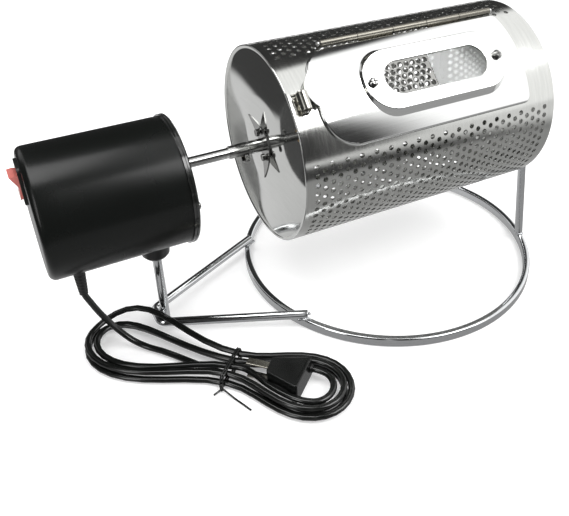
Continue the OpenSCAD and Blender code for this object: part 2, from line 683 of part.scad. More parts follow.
module near_disc() {
    color("gainsboro") difference() {
        on_axle(0) end_disc();
        for (turn = [drive_turn, drive_turn + 180]) radial(turn) translate([0, 0, wing_screw_r])
            rotate([0, 90, 0]) cylinder(d = wing_screw_d, h = 20);
    }
}
module far_disc() { color("gainsboro") translate([drum_len, 0, 0]) mirror([1, 0, 0]) on_axle(0) end_disc(); }
module mixing_blades() {
    x0 = disc_inset + sheet_t + 6;
    x1 = drum_len - x0;
    foot_turn = blade_foot / shell_in_r * 180 / PI;
    color("gainsboro") for (turn = blade_turns) {
        band(shell_in_r - 1, shell_in_r, x0, x1, turn - foot_turn, turn);
        band(shell_in_r - blade_h, shell_in_r - 0.5, x0 + 0.2, x1 - 0.2, turn - 0.9, turn - 0.1);
    }
}
far_pin_x = leg_x + bush_len / 2 + 5;
module far_stub() {
    inside_x = far_disc_x - sheet_t;
    color("silver") {
        on_axle(inside_x - stub_flange_t) cylinder(d = hub_flange_d, h = stub_flange_t);
        on_axle(inside_x - face) cylinder(d = sleeve_d, h = far_collar_x - inside_x + face);
        on_axle(inside_x) cylinder(r = shaft_r, h = far_pin_x - inside_x);
    }
}
far_collar_x = leg_x - bush_len / 2 - 0.4;
far_nut_gap = 0.4;
far_nut_len = 8;
module far_nut() {
    nut_x = leg_x + bush_len / 2 + far_nut_gap;
    color("silver") difference() {
        union() {
            on_axle(nut_x) cylinder(d = 13, h = 5, $fn = 6);
            on_axle(nut_x + 5 - face) cylinder(d1 = 11, d2 = 7, h = far_nut_len - 5 + face);
        }
        on_axle(nut_x - 1) cylinder(r = shaft_r, h = far_pin_x - nut_x + 1);
    }
}

// ---- Door hinge ----
strip_t = 0.8;
strip_turn = 7;                                   // width of the strip's leaf under the shell, in degrees
module knuckles(first) {
    for (i = [first:2:knuckle_count - 1])
        radial(hinge_turn) translate([knuckle_x0 + i * knuckle_len + 0.2, 0, hinge_r]) rotate([0, 90, 0])
            cylinder(r = knuckle_r, h = knuckle_len - 0.4);
}
module hinge_bore(play) {
    radial(hinge_turn) translate([knuckle_x0 - 5, 0, hinge_r]) rotate([0, 90, 0])
        cylinder(r = hinge_pin_d / 2 + play, h = knuckle_x1 - knuckle_x0 + 10);
}
module hinge_strip() {
    color("darkgray") difference() {
        union() {
            knuckles(0);
            band(shell_in_r - strip_t, shell_in_r, knuckle_x0, knuckle_x1, hinge_turn - strip_turn, hinge_turn - 1.2);
            for (i = [0:2:knuckle_count - 1])
                band(shell_in_r - strip_t + 0.1, hinge_r - 1, knuckle_x0 + i * knuckle_len + 0.3,
                    knuckle_x0 + (i + 1) * knuckle_len - 0.3, hinge_turn - 1.8, hinge_turn - 1.25);
        }
        hinge_bore(0);
    }
}
module hinge_pin() {
    color("silver") {
        radial(hinge_turn) translate([knuckle_x0 - 1.5, 0, hinge_r]) rotate([0, 90, 0])
            cylinder(d = hinge_pin_d, h = knuckle_x1 - knuckle_x0 + 3);
        for (x = [knuckle_x0 - 2, knuckle_x1 + 0.5])
            radial(hinge_turn) translate([x, 0, hinge_r]) rotate([0, 90, 0]) cylinder(d = hinge_pin_d + 1, h = 1.5);
    }
}

// ---- Catch at the door's end ----
catch_x = 8.6;
catch_turn = door_turn + 1.5;
catch_roll_r = 4;
catch_roll_len = 13;
catch_pin_d = 2;
catch_foot_t = 0.6;
catch_axis_r = shell_r + catch_foot_t + seat + catch_roll_r;
catch_rivet_y = 4;
catch_ear_t = 0.8;
catch_ear_y = catch_roll_len / 2 + 0.2;
module catch_ear() {
    translate([catch_x, catch_ear_y + catch_ear_t, catch_axis_r]) rotate([90, 0, 0]) cylinder(r = 2.6, h = catch_ear_t);
    translate([catch_x - 2.6, catch_ear_y, shell_r - 2]) cube([5.2, catch_ear_t, catch_axis_r - shell_r + 2]);
}
module catch_bracket() {
    half_turn = asin((catch_ear_y + catch_ear_t + 0.6) / shell_r);
    color("silver") {
        difference() {
            radial(catch_turn) {
                catch_ear();
                mirror([0, 1, 0]) catch_ear();
            }
            on_axle(-5) cylinder(r = shell_r + catch_foot_t / 2, h = 40);
            radial(catch_turn) translate([catch_x, 20, catch_axis_r]) rotate([90, 0, 0]) cylinder(d = catch_pin_d, h = 40);
        }
        band(shell_r, shell_r + catch_foot_t, catch_x - 5.2, catch_x + 2.6, catch_turn - half_turn, catch_turn + half_turn);
        for (side = [-1, 1]) radial(catch_turn) translate([catch_x - 3.2, side * catch_rivet_y, shell_r - 1.6])
            cylinder(d = 2, h = 1.8);
    }
}
module catch_pin() {
    color("silver") radial(catch_turn) translate([catch_x, catch_roll_len / 2 + 1.8, catch_axis_r])
        rotate([90, 0, 0]) cylinder(d = catch_pin_d, h = catch_roll_len + 3.6);
}
module catch_roller() {
    color("silver") radial(catch_turn) translate([catch_x, catch_roll_len / 2, catch_axis_r]) rotate([90, 0, 0])
        tube_x(catch_roll_r, catch_pin_d / 2 + shaft_play, catch_roll_len);
}

// ---- Door ----
panel_low_r = shell_r + seat;
frame_top = door_r + frame_rise;                  // height of the frame's flat face from the axle
view_len = frame_len - 2 * frame_margin;
view_half = view_len / 2 - view_w / 2;
frame_half = frame_len / 2 - frame_w / 2;
frame_t = 1;
frame_screw_x = frame_len / 2 - frame_screw_in;
frame_screw_d = 4;
module door_panel() {
    color("gainsboro") difference() {
        intersection() {
            on_axle(0) tube_x(door_r, panel_low_r, drum_len);
            over_door(0, 0, 100);
        }
        intersection() {
            on_axle(0) tube_x(door_r - sheet_t, panel_low_r - 1, drum_len);
            over_door(-sheet_t, 0, 100);
        }
        band(panel_low_r - 1, door_r - sheet_t + face, knuckle_x0, knuckle_x1, hinge_turn - 5, hinge_turn + 4.6);
        radial(door_turn) translate([window_x, 0, 20]) linear_extrude(80) stadium(view_half, view_w / 2 + 1);
        for (side = [-1, 1]) radial(door_turn) translate([window_x + side * frame_screw_x, 0, 20])
            cylinder(d = frame_screw_d, h = 80);
    }
}
module door_knuckles() {
    color("darkgray") difference() {
        union() {
            knuckles(1);
            band(door_r - sheet_t - 0.8, door_r - sheet_t, knuckle_x0 + 0.2, knuckle_x1 - 0.2, hinge_turn + 4.6,
                hinge_turn + 10);
            for (i = [1:2:knuckle_count - 1])
                band(door_r - sheet_t - 0.75, door_r - sheet_t - 0.05, knuckle_x0 + i * knuckle_len + 0.3,
                    knuckle_x0 + (i + 1) * knuckle_len - 0.3, hinge_turn + 1, hinge_turn + 5);
        }
        hinge_bore(shaft_play);
    }
}
module door_tab() {
    tab_x = door_x0 - 0.2;
    tab_half = 12.6;
    tab_w = 12;
    leaf_r = (tab_half * tab_half + tab_w * tab_w / 4) / tab_w;
    color("silver") radial(door_turn - 3.4) difference() {
        intersection() {
            union() {
                translate([door_x0 - 7.2, -20, door_r + 1.6]) rotate([0, 12, 0]) cube([7.5, 40, 1]);
                translate([door_x0 - 0.2, -20, door_r + 0.02]) cube([8, 40, 1]);
                translate([door_x0 - 0.2, -20, door_r + 0.02]) cube([1, 40, 1.2]);
            }
            translate([tab_x, 0, 0]) linear_extrude(200) intersection() {
                translate([leaf_r - tab_w / 2, 0]) circle(r = leaf_r);
                translate([tab_w / 2 - leaf_r, 0]) circle(r = leaf_r);
            }
        }
        translate([-50, 0, 0]) rotate([0, 90, 0]) cylinder(r = door_r, h = 400);
    }
}
module window_frame() {
    height = frame_top - door_r + 8;
    color("silver") difference() {
        radial(door_turn) translate([window_x, 0, frame_top - height])
            sloped_stadium(frame_half, frame_w / 2 + frame_slope * (height / 6 - 1), frame_w / 2 - frame_slope, height);
        radial(door_turn) translate([window_x, 0, frame_top - height - frame_t])
            sloped_stadium(frame_half, frame_w / 2 + frame_slope * (height / 6 - 1) - frame_t, frame_w / 2 - frame_slope - frame_t, height);
        on_axle(0) cylinder(r = door_r, h = drum_len);
        radial(door_turn) translate([window_x, 0, 20]) linear_extrude(80) stadium(view_half, view_w / 2);
        for (side = [-1, 1]) radial(door_turn) translate([window_x + side * frame_screw_x, 0, 20])
            cylinder(d = frame_screw_d, h = 80);
    }
}
pane_z = frame_top - frame_t - glass_t;
pane_split = window_x - view_len / 2 + 40;        // where the vent ends and the glass begins
module pane_outline() { translate([window_x, 0]) stadium(view_half, view_w / 2 + 4); }
module window_glass() {
    color([0.8, 0.85, 0.85, 0.6]) difference() {
        radial(door_turn) translate([0, 0, pane_z]) linear_extrude(glass_t) intersection() {
            pane_outline();
            translate([pane_split + 0.1, -50]) square([200, 100]);
        }
        on_axle(0) cylinder(r = door_r, h = drum_len);
    }
}
module window_vent() {
    rows = floor((view_w / 2 + 2) / (vent_pitch * 0.866));
    cols = ceil(view_len / vent_pitch);
    color("silver") difference() {
        radial(door_turn) translate([0, 0, frame_top - frame_t - 0.8]) linear_extrude(0.8) intersection() {
            pane_outline();
            translate([pane_split - 0.1 - 200, -50]) square([200, 100]);
        }
        on_axle(0) cylinder(r = door_r, h = drum_len);
        for (row = [-rows:rows], col = [0:cols]) let (
            x = pane_split - 3.2 - col * vent_pitch - (row % 2 == 0 ? 0 : vent_pitch / 2), y = row * vent_pitch * 0.866,
            left = window_x - view_half, r_here = norm([min(0, x - left), y]))
            if (x > window_x - view_len / 2 - 1 && r_here < view_w / 2 + 0.5)
                radial(door_turn) translate([x, y, 60]) cylinder(d = vent_hole_d, h = 40, $fn = 24);
    }
}
screw_inner = door_r - sheet_t;
module window_screws() {
    color("silver") for (side = [-1, 1]) radial(door_turn) translate([window_x + side * frame_screw_x, 0, frame_top])
        pan_screw(7, 3, frame_screw_d, frame_top - screw_inner + 3.5);
}
module window_nuts() {
    color("silver") for (side = [-1, 1]) radial(door_turn)
        translate([window_x + side * frame_screw_x, 0, screw_inner - 2.9]) difference() {
            cylinder(d = 8, h = 2.8, $fn = 6);
            translate([0, 0, -1]) cylinder(d = frame_screw_d, h = 6);
        }
}

// ---- Mains lead ----
lead_r = lead_d / 2;
waist = [-64, -80];                               // the hank's drawn-in middle, from the drum's motor end
hank_turn = -45;                                  // the hank's long way, in degrees
low_z = 3.2;
layer_h = lead_d + 0.5;
left_reach = 121;
right_reach = 88;
waist_half = 12.5;
left_spread = 41;
right_spread = 34;
side_step = 7.6;
end_step = 7;
// How far a side of the hank stands out at the share c of the way to its end: the far side of the left loop
// keeps clear of the stand's bend
function spread(c, side) = c > 0 ? right_spread * 1.6 * c * c / (c * c + 0.6)
    : side > 0 ? left_spread * pow(-c, 2.2) : left_spread * 1.6 * c * c / (c * c + 0.6);
function hank_xy(s, w) = waist + s * [cos(hank_turn), sin(hank_turn)] + w * [-sin(hank_turn), cos(hank_turn)];
// Turns 0 to 1 wind outwards on the table, 1 to 1.5 climb, 1.5 to 3 wind inwards on top of them
function inward(t) = t < 1 ? 1 - t : t < 1.5 ? 0 : t - 1.5;
function rise(t) = t < 1 ? 0 : t > 1.5 ? 1 : (1 - cos((t - 1) * 360)) / 2;
// The topmost turn lies over the corner of the stand's bend
function ride(t) = t > 1.5 && t < 1.75 ? pow(sin((t - 1.5) * 720), 2) : 0;
function hank_point(t) =
    let (turn = -90 + 360 * t, c = cos(turn), k = inward(t),
        s = (c < 0 ? left_reach : right_reach) * c - sign(c) * end_step * k * abs(c),
        w = sin(turn) * (waist_half + spread(c, sin(turn)) - side_step * k) + 8 * ride(t),
        xy = hank_xy(s, w))
    [xy[0], xy[1], low_z + layer_h * rise(t) + 7 * ride(t)];
hank_turns = 3;
hank_steps = 24 * hank_turns;
hank_path = [for (i = [0:hank_steps]) hank_point(i / 24)];
function blend4(a, b, c, d, t) = 0.5 * ((2 * b) + (c - a) * t + (2 * a - 5 * b + 4 * c - d) * t * t
    + (3 * b - a - 3 * c + d) * t * t * t);
// A smooth path through chosen points, with the given number of steps between each pair
function smooth(p, steps) = let (n = len(p) - 1) concat(
    [for (i = [0:n - 1], j = [0:steps - 1]) blend4(p[max(i - 1, 0)], p[i], p[i + 1], p[min(i + 2, n)], j / steps)], [p[n]]);
exit_at = [exit_x, exit_y, exit_z];
lead_route = [
    [exit_x, exit_y, exit_z - 4], [exit_x, exit_y, exit_z - 14], [exit_x, exit_y, exit_z - 24],
    [-145.5, -8, 48], [-140, -8.5, 34], [-132, -11, 19], [-123, -17, 8], [-114, -25, 3.4],
    [-105, -35, 3.2], [-97, -45.5, 3.2], [-88, -58, 3.2], [-77.5, -72, 3.2], [-70.5, -79.5, 3.2],
    [hank_path[0][0], hank_path[0][1], hank_path[0][2]]
];
upper_z = low_z + layer_h;
tail_plan = [[6, -0.4], [12, -1.6], [20, -4.8], [27, -8.4], [34, -11.4], [40, -13.4], [47, -15.3], [53.5, -16.4],
    [60.5, -16.5], [68, -14.5], [73.5, -9], [75.5, -1.5], [73.5, 6], [68, 11.5], [60.5, 13.5], [56, 13.5]];
tail_route = concat([hank_path[hank_steps]], [for (p = tail_plan) let (xy = hank_xy(p[0], p[1])) [xy[0], xy[1], upper_z]]);
tail_path = smooth(tail_route, 3);
lead_path = smooth(lead_route, 4);
function least_between(p, q, skip) = min([for (i = [0:len(p) - 1], j = [0:len(q) - 1])
    if (skip == 0 || j - i > skip) norm(p[i] - q[j])]) - lead_d;
function unit(v) = v / norm(v);
function tangent(p, i) = unit(p[min(i + 1, len(p) - 1)] - p[max(i - 1, 0)]);
// One unbroken tube along a path; up is a direction that the path never takes
module tube(path, r, sides, up) {
    rings = len(path);
    points = [for (i = [0:rings - 1]) let (t = tangent(path, i), a = unit(cross(t, up)), b = cross(a, t))
        for (j = [0:sides - 1]) path[i] + r * (cos(j * 360 / sides) * a + sin(j * 360 / sides) * b)];
    sides_faces = [for (i = [0:rings - 2], j = [0:sides - 1]) let (a = i * sides + j, b = i * sides + (j + 1) % sides)
        each [[a, a + sides, b + sides], [a, b + sides, b]]];
    cap0 = [for (j = [1:sides - 2]) [0, j, j + 1]];
    last = (rings - 1) * sides;
    cap1 = [for (j = [1:sides - 2]) [last, last + j + 1, last + j]];
    polyhedron(points = points, faces = concat(sides_faces, cap0, cap1), convexity = 10);
}
function path_len(p, i = 0) = i >= len(p) - 1 ? 0 : norm(p[i + 1] - p[i]) + path_len(p, i + 1);
echo(lead_lengths = [path_len(lead_path), path_len(hank_path), path_len(tail_path)]);
echo(hank_to_itself = least_between(hank_path, hank_path, 8));
echo(hank_to_tail = least_between([for (i = [0:hank_steps - 6]) hank_path[i]], tail_path, 0));
echo(hank_to_lead = least_between([for (i = [6:hank_steps]) hank_path[i]], lead_path, 0));
module lead_cable() { color([0.05, 0.05, 0.05]) tube(lead_path, lead_r, 8, [0.707, 0.707, 0]); }
module lead_hank() { color([0.05, 0.05, 0.05]) tube(hank_path, lead_r, 6, [0, 0, 1]); }
module lead_tail() { color([0.05, 0.05, 0.05]) tube(tail_path, lead_r, 8, [0, 0, 1]); }
module in_hank(s, w, z) {
    xy = hank_xy(s, w);
    translate([xy[0], xy[1], z]) rotate([0, 0, hank_turn]) children();
}
module twist_tie() {
    tie_t = 1.1;
    tie_w = 1.8;
    tie_half = waist_half + lead_r + 1.7;
    tie_top = low_z + layer_h + lead_r + 1.5;
    color([0.08, 0.08, 0.08]) {
        in_hank(-4, 0, 0) rotate([90, 0, 90]) linear_extrude(tie_w) difference() {
            translate([-tie_half, 0]) square([2 * tie_half, tie_top]);
            translate([-tie_half + tie_t, 0.6]) square([2 * (tie_half - tie_t), tie_top - tie_t - 0.6]);
        }
        in_hank(-3.1, -tie_half - 1.4, 0.4) cylinder(r = 2, h = 4, $fn = 32);
        in_hank(-3.1, -tie_half - 1.4, 1.6) rotate([0, 90, -22]) cylinder(r = 0.9, h = 30, $fn = 32);
    }
}
plug_t = 2 * upper_z;
blade_gap = 12.7;
module plug_body() {
    color([0.06, 0.06, 0.06]) difference() {
        union() {
            in_hank(0, 0, 0) linear_extrude(plug_t)
                polygon([[53.5, 17.5], [54.5, 16], [53, -13], [50, -13.4], [28, -6.2], [27, -4.5], [27, 8], [28.5, 9.6]]);
            in_hank(54, 13.5, upper_z) rotate([0, 90, 0]) cylinder(d = 7.6, h = 2);
        }
        for (side = [-1, 1]) in_hank(25, -1.5, upper_z + side * blade_gap / 2 - 0.75) cube([8, 6, 1.5]);
    }
}
module plug_blades() {
    color("gold") for (side = [-1, 1]) in_hank(10, -1.5, upper_z + side * blade_gap / 2 - 0.75) cube([23, 6, 1.5]);
}

rocker_reach = 5.2 * cos(rocker_tip) + (rocker_r + 0.4) * sin(rocker_tip);
least_x = rocker_pin_x - rocker_reach;
most_x = max(ring_x + ring_d / 2, leg_x + bush_len / 2 + far_nut_gap + far_nut_len);
home_x = (least_x + most_x) / 2;

at_home() {
    base_ring();
    hairpin_rod();
    motor_post();
    far_arch();
    bearing_saddle();
    bearing_bush();
    housing_shell();
    front_cover();
    cover_screws();
    post_collar();
    post_nut();
    stator_can();
    stator_coil();
    motor_rotor();
    gear_case();
    gear_axles();
    first_gear();
    second_gear();
    output_gear();
    output_bush();
    motor_screws();
    switch_body();
    switch_rocker();
    switch_terminals();
    lead_grommet();
    output_shaft();
    drive_sleeve();
    thumb_screw();
    wing_plate();
    wing_screws();
    drum_shell();
    near_disc();
    far_disc();
    mixing_blades();
    far_stub();
    far_nut();
    hinge_strip();
    hinge_pin();
    catch_bracket();
    catch_pin();
    catch_roller();
    door_panel();
    door_knuckles();
    door_tab();
    window_frame();
    window_glass();
    window_vent();
    window_screws();
    window_nuts();
    lead_cable();
    lead_hank();
    lead_tail();
    twist_tie();
    plug_body();
    plug_blades();
}
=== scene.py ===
# Home coffee bean roaster, dressed for rendering. Lengths in the dictionaries are millimetres, measured from
# the drum's motor end along the axle (x), across it (y) and up from the table (z).
import math
import bpy
import bmesh
import numpy as np
from mathutils import Vector, Matrix

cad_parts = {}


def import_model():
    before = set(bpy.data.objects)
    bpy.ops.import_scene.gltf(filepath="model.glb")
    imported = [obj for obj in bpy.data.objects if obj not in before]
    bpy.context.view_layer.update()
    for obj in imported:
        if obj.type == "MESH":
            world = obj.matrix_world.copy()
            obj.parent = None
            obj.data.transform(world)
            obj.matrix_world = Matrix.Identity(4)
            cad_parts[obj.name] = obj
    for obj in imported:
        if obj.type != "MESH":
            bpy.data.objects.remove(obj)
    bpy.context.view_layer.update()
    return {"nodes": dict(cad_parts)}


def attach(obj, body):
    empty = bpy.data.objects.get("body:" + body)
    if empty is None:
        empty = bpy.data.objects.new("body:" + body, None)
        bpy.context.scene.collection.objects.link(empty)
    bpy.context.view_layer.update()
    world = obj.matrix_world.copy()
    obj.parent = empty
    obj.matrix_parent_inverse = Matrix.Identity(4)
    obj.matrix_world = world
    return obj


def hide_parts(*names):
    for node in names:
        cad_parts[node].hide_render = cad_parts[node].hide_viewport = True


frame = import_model()
homeX = 34.4712                      # middle of the roaster's box, from the drum's motor end
axleZ = 137.5
motorZ = 127.5
drumR = 75.0


def world(p):
    return Vector(((p[0] - homeX) / 1000, p[1] / 1000, p[2] / 1000))


def sinD(a):
    return math.sin(math.radians(a))


def cosD(a):
    return math.cos(math.radians(a))


# ---- nodes ----
def feed(tree, value, socket):
    if isinstance(value, bpy.types.NodeSocket):
        tree.links.new(value, socket)
    else:
        socket.default_value = value


def addNode(tree, kind, inputs=None, **settings):
    # each input gets a value or a link; the node's outputs are given back
    node = tree.nodes.new(kind)
    for name, value in settings.items():
        setattr(node, name, value)
    for name, value in (inputs or {}).items():
        feed(tree, value, node.inputs[name])
    return node.outputs


def calc(tree, operation, *values):
    return addNode(tree, "ShaderNodeMath", dict(enumerate(values)), operation=operation)[0]


def ramp(tree, value, start, stop, low=0.0, high=1.0, kind="SMOOTHSTEP"):
    # low as far as start, high from stop onwards
    ends = {"Value": value, "From Min": start, "From Max": stop, "To Min": low, "To Max": high}
    return addNode(tree, "ShaderNodeMapRange", ends, interpolation_type=kind)["Result"]


# ---- camera, studio and lamps ----
cameraSet = {"place": (-0.21554, -0.43958, 0.39128), "turn": -27.18, "tilt": 32.50, "roll": -0.64,
             "lens": 44.97, "sensor": 36, "shift": (-0.053, -0.1056)}


def setCamera(c):
    data = bpy.data.cameras.new("photoCamera")
    cam = bpy.data.objects.new("photoCamera", data)
    bpy.context.scene.collection.objects.link(cam)
    a, e, roll = math.radians(c["turn"]), math.radians(c["tilt"]), math.radians(c["roll"])
    back = Vector((math.sin(a) * math.cos(e), -math.cos(a) * math.cos(e), math.sin(e)))
    right = Vector((math.cos(a), math.sin(a), 0))
    up = back.cross(right)
    rolledRight = right * math.cos(roll) + up * math.sin(roll)
    rolledUp = up * math.cos(roll) - right * math.sin(roll)
    m = Matrix((rolledRight, rolledUp, back)).transposed().to_4x4()
    m.translation = Vector(c["place"])
    cam.matrix_world = m
    data.lens, data.sensor_width, data.sensor_fit = c["lens"], c["sensor"], "HORIZONTAL"
    data.shift_x, data.shift_y = c["shift"]
    data.clip_start, data.clip_end = 0.01, 20
    bpy.context.scene.camera = cam


setCamera(cameraSet)

studioSet = {"white": 1.0, "soft": 0.95, "dark": 0.045, "ceiling": 0.8, "ceilingFrom": (74, 86),
             "sideBlur": 4, "lowBlur": 2, "highBlur": 6,
             "panels": [(-9, 49, -8, 76, 1.30),             # azimuth, half width, low edge, high edge, level
                        (112, 12, 6, 62, 0.80),
                        (-162, 9, 2, 66, 0.75),
                        (-117, 2.5, -4, 58, 0.55)]}


def setStudio(s):
    # a white room for the eye and for soft light; what steel mirrors is a dark room with lit panels in it
    scene = bpy.context.scene
    scene.world = bpy.data.worlds.new("studio")
    scene.world.use_nodes = True
    t = scene.world.node_tree
    t.nodes.clear()
    x, y, z = addNode(t, "ShaderNodeSeparateXYZ", {0: addNode(t, "ShaderNodeTexCoord")["Generated"]})
    turn = calc(t, "MULTIPLY", calc(t, "ARCTAN2", y, x), 180 / math.pi)
    rise = calc(t, "MULTIPLY", calc(t, "ARCSINE", z), 180 / math.pi)
    level = calc(t, "ADD", calc(t, "MULTIPLY", ramp(t, rise, *s["ceilingFrom"]), s["ceiling"]), s["dark"])
    for middle, half, low, high, strength in s["panels"]:
        away = calc(t, "ABSOLUTE", calc(t, "SUBTRACT", turn, middle))
        across = calc(t, "SUBTRACT", ramp(t, away, half - s["sideBlur"], half + s["sideBlur"]), 1.0)
        above = ramp(t, rise, low - s["lowBlur"], low + s["lowBlur"])
        below = ramp(t, rise, high + s["highBlur"], high - s["highBlur"])
        inside = calc(t, "MULTIPLY", across, calc(t, "MULTIPLY", above, below))   # minus one inside the panel
        level = calc(t, "ADD", level, calc(t, "MULTIPLY", inside, -strength))
    seen = addNode(t, "ShaderNodeLightPath")
    for ray, strength in (("Is Diffuse Ray", s["soft"]), ("Is Camera Ray", s["white"])):
        level = addNode(t, "ShaderNodeMix", {0: seen[ray], 2: level, 3: strength}, data_type="FLOAT")[0]
    back = addNode(t, "ShaderNodeBackground", {"Color": (1, 1, 1, 1), "Strength": level})[0]
    addNode(t, "ShaderNodeOutputWorld", {"Surface": back})
    scene.view_settings.view_transform = "Standard"


setStudio(studioSet)

lampSet = [  # name, place, aimed at, size in metres, power in watts
    ("keyLamp", (0.55, -0.75, 1.15), (0.0, 0.0, 0.12), (0.9, 0.7), 11),
    ("topLamp", (-0.35, 0.10, 1.3), (0.0, 0.0, 0.1), (0.7, 0.7), 7),
    ("sideLamp", (-1.2, -0.6, 0.6), (-0.1, 0.0, 0.1), (0.35, 0.9), 3.5)]


def addLamp(name, place, aim, size, watts):
    lamp = bpy.data.lights.new(name, "AREA")
    lamp.shape, lamp.size, lamp.size_y, lamp.energy = "RECTANGLE", size[0], size[1], watts
    o = bpy.data.objects.new(name, lamp)
    o.location = place
    o.rotation_euler = (Vector(aim) - Vector(place)).to_track_quat("-Z", "Y").to_euler()
    bpy.context.scene.collection.objects.link(o)


for row in lampSet:
    addLamp(*row)


# ---- materials ----
def newGroup(name, inputs, outputs):
    g = bpy.data.node_groups.new(name, "ShaderNodeTree")
    for n, value in inputs.items():
        kind = "NodeSocketVector" if isinstance(value, tuple) else "NodeSocketFloat"
        g.interface.new_socket(n, in_out="INPUT", socket_type=kind).default_value = value
    for n in outputs:
        g.interface.new_socket(n, in_out="OUTPUT", socket_type="NodeSocketFloat")
    return g, g.nodes.new("NodeGroupInput").outputs, g.nodes.new("NodeGroupOutput").inputs


def noise(tree, place, scale, detail, roughness=0.5):
    return addNode(tree, "ShaderNodeTexNoise", {"Vector": place, "Scale": scale, "Detail": detail,
                                                "Roughness": roughness})[0]


def makeSheetGrain():
    # fine lines rolled or drawn into metal, and soft patches where it has been handled
    g, get, out = newGroup("sheetGrain", {"Stretch": (1, 1, 1), "Line Scale": 600.0, "Patch Scale": 22.0,
                                          "Smooth": 0.1, "Rough": 0.2, "Wave": 0.3},
                           ("Roughness", "Height", "Tone"))
    place = addNode(g, "ShaderNodeTexCoord")["Object"]
    drawn = addNode(g, "ShaderNodeVectorMath", {0: place, 1: get["Stretch"]}, operation="MULTIPLY")[0]
    lines = noise(g, drawn, get["Line Scale"], 3)
    patches = noise(g, place, get["Patch Scale"], 4, 0.6)
    waves = calc(g, "MULTIPLY", noise(g, place, 26.0, 1), get["Wave"])
    worn = calc(g, "MULTIPLY_ADD", lines, 0.35, patches)
    feed(g, ramp(g, worn, 0.45, 0.9, get["Smooth"], get["Rough"], "LINEAR"), out["Roughness"])
    feed(g, calc(g, "MULTIPLY_ADD", lines, 0.02, waves), out["Height"])
    feed(g, lines, out["Tone"])
    return g


def makeMouldGrain():
    # the faint texture of moulded plastic and rubber, with a few rubbed patches
    g, get, out = newGroup("mouldGrain", {"Grain Scale": 900.0, "Patch Scale": 18.0, "Smooth": 0.25,
                                          "Rough": 0.4}, ("Roughness", "Height", "Rubbed"))
    place = addNode(g, "ShaderNodeTexCoord")["Object"]
    patches = noise(g, place, get["Patch Scale"], 5)
    feed(g, ramp(g, patches, 0.3, 0.7, get["Smooth"], get["Rough"], "LINEAR"), out["Roughness"])
    feed(g, noise(g, place, get["Grain Scale"], 2), out["Height"])
    feed(g, patches, out["Rubbed"])
    return g


sheetGrain = makeSheetGrain()
mouldGrain = makeMouldGrain()
grainDepth = 0.0002                  # metres


def newMaterial(name, group, values, tones, toneFrom, metallic, bump, **fixed):
    m = bpy.data.materials.new(name)
    m.use_nodes = True
    t = m.node_tree
    grain = addNode(t, "ShaderNodeGroup", values, node_tree=group)
    mix = {0: grain[toneFrom], 6: (*tones[0], 1), 7: (*tones[1], 1)}
    tone = addNode(t, "ShaderNodeMix", mix, data_type="RGBA")[2]
    relief = {"Strength": bump, "Distance": grainDepth, "Height": grain["Height"]}
    relief = addNode(t, "ShaderNodeBump", relief)[0]
    sockets = {"Base Color": tone, "Roughness": grain["Roughness"], "Normal": relief, "Metallic": metallic}
    for key, value in {**sockets, **fixed}.items():
        feed(t, value, t.nodes["Principled BSDF"].inputs[key])
    return m


def metal(name, tones, smooth, rough, stretch=(1, 1, 1), lines=600.0, patches=22.0, wave=0.3, bump=0.1,
          metallic=1.0):
    values = {"Stretch": stretch, "Line Scale": lines, "Patch Scale": patches, "Smooth": smooth,
              "Rough": rough, "Wave": wave}
    return newMaterial(name, sheetGrain, values, tones, "Tone", metallic, bump)


def moulded(name, tones, smooth, rough, grain=900.0, patches=18.0, bump=0.06, **fixed):
    values = {"Grain Scale": grain, "Patch Scale": patches, "Smooth": smooth, "Rough": rough}
    return newMaterial(name, mouldGrain, values, tones, "Rubbed", 0.0, bump, **fixed)


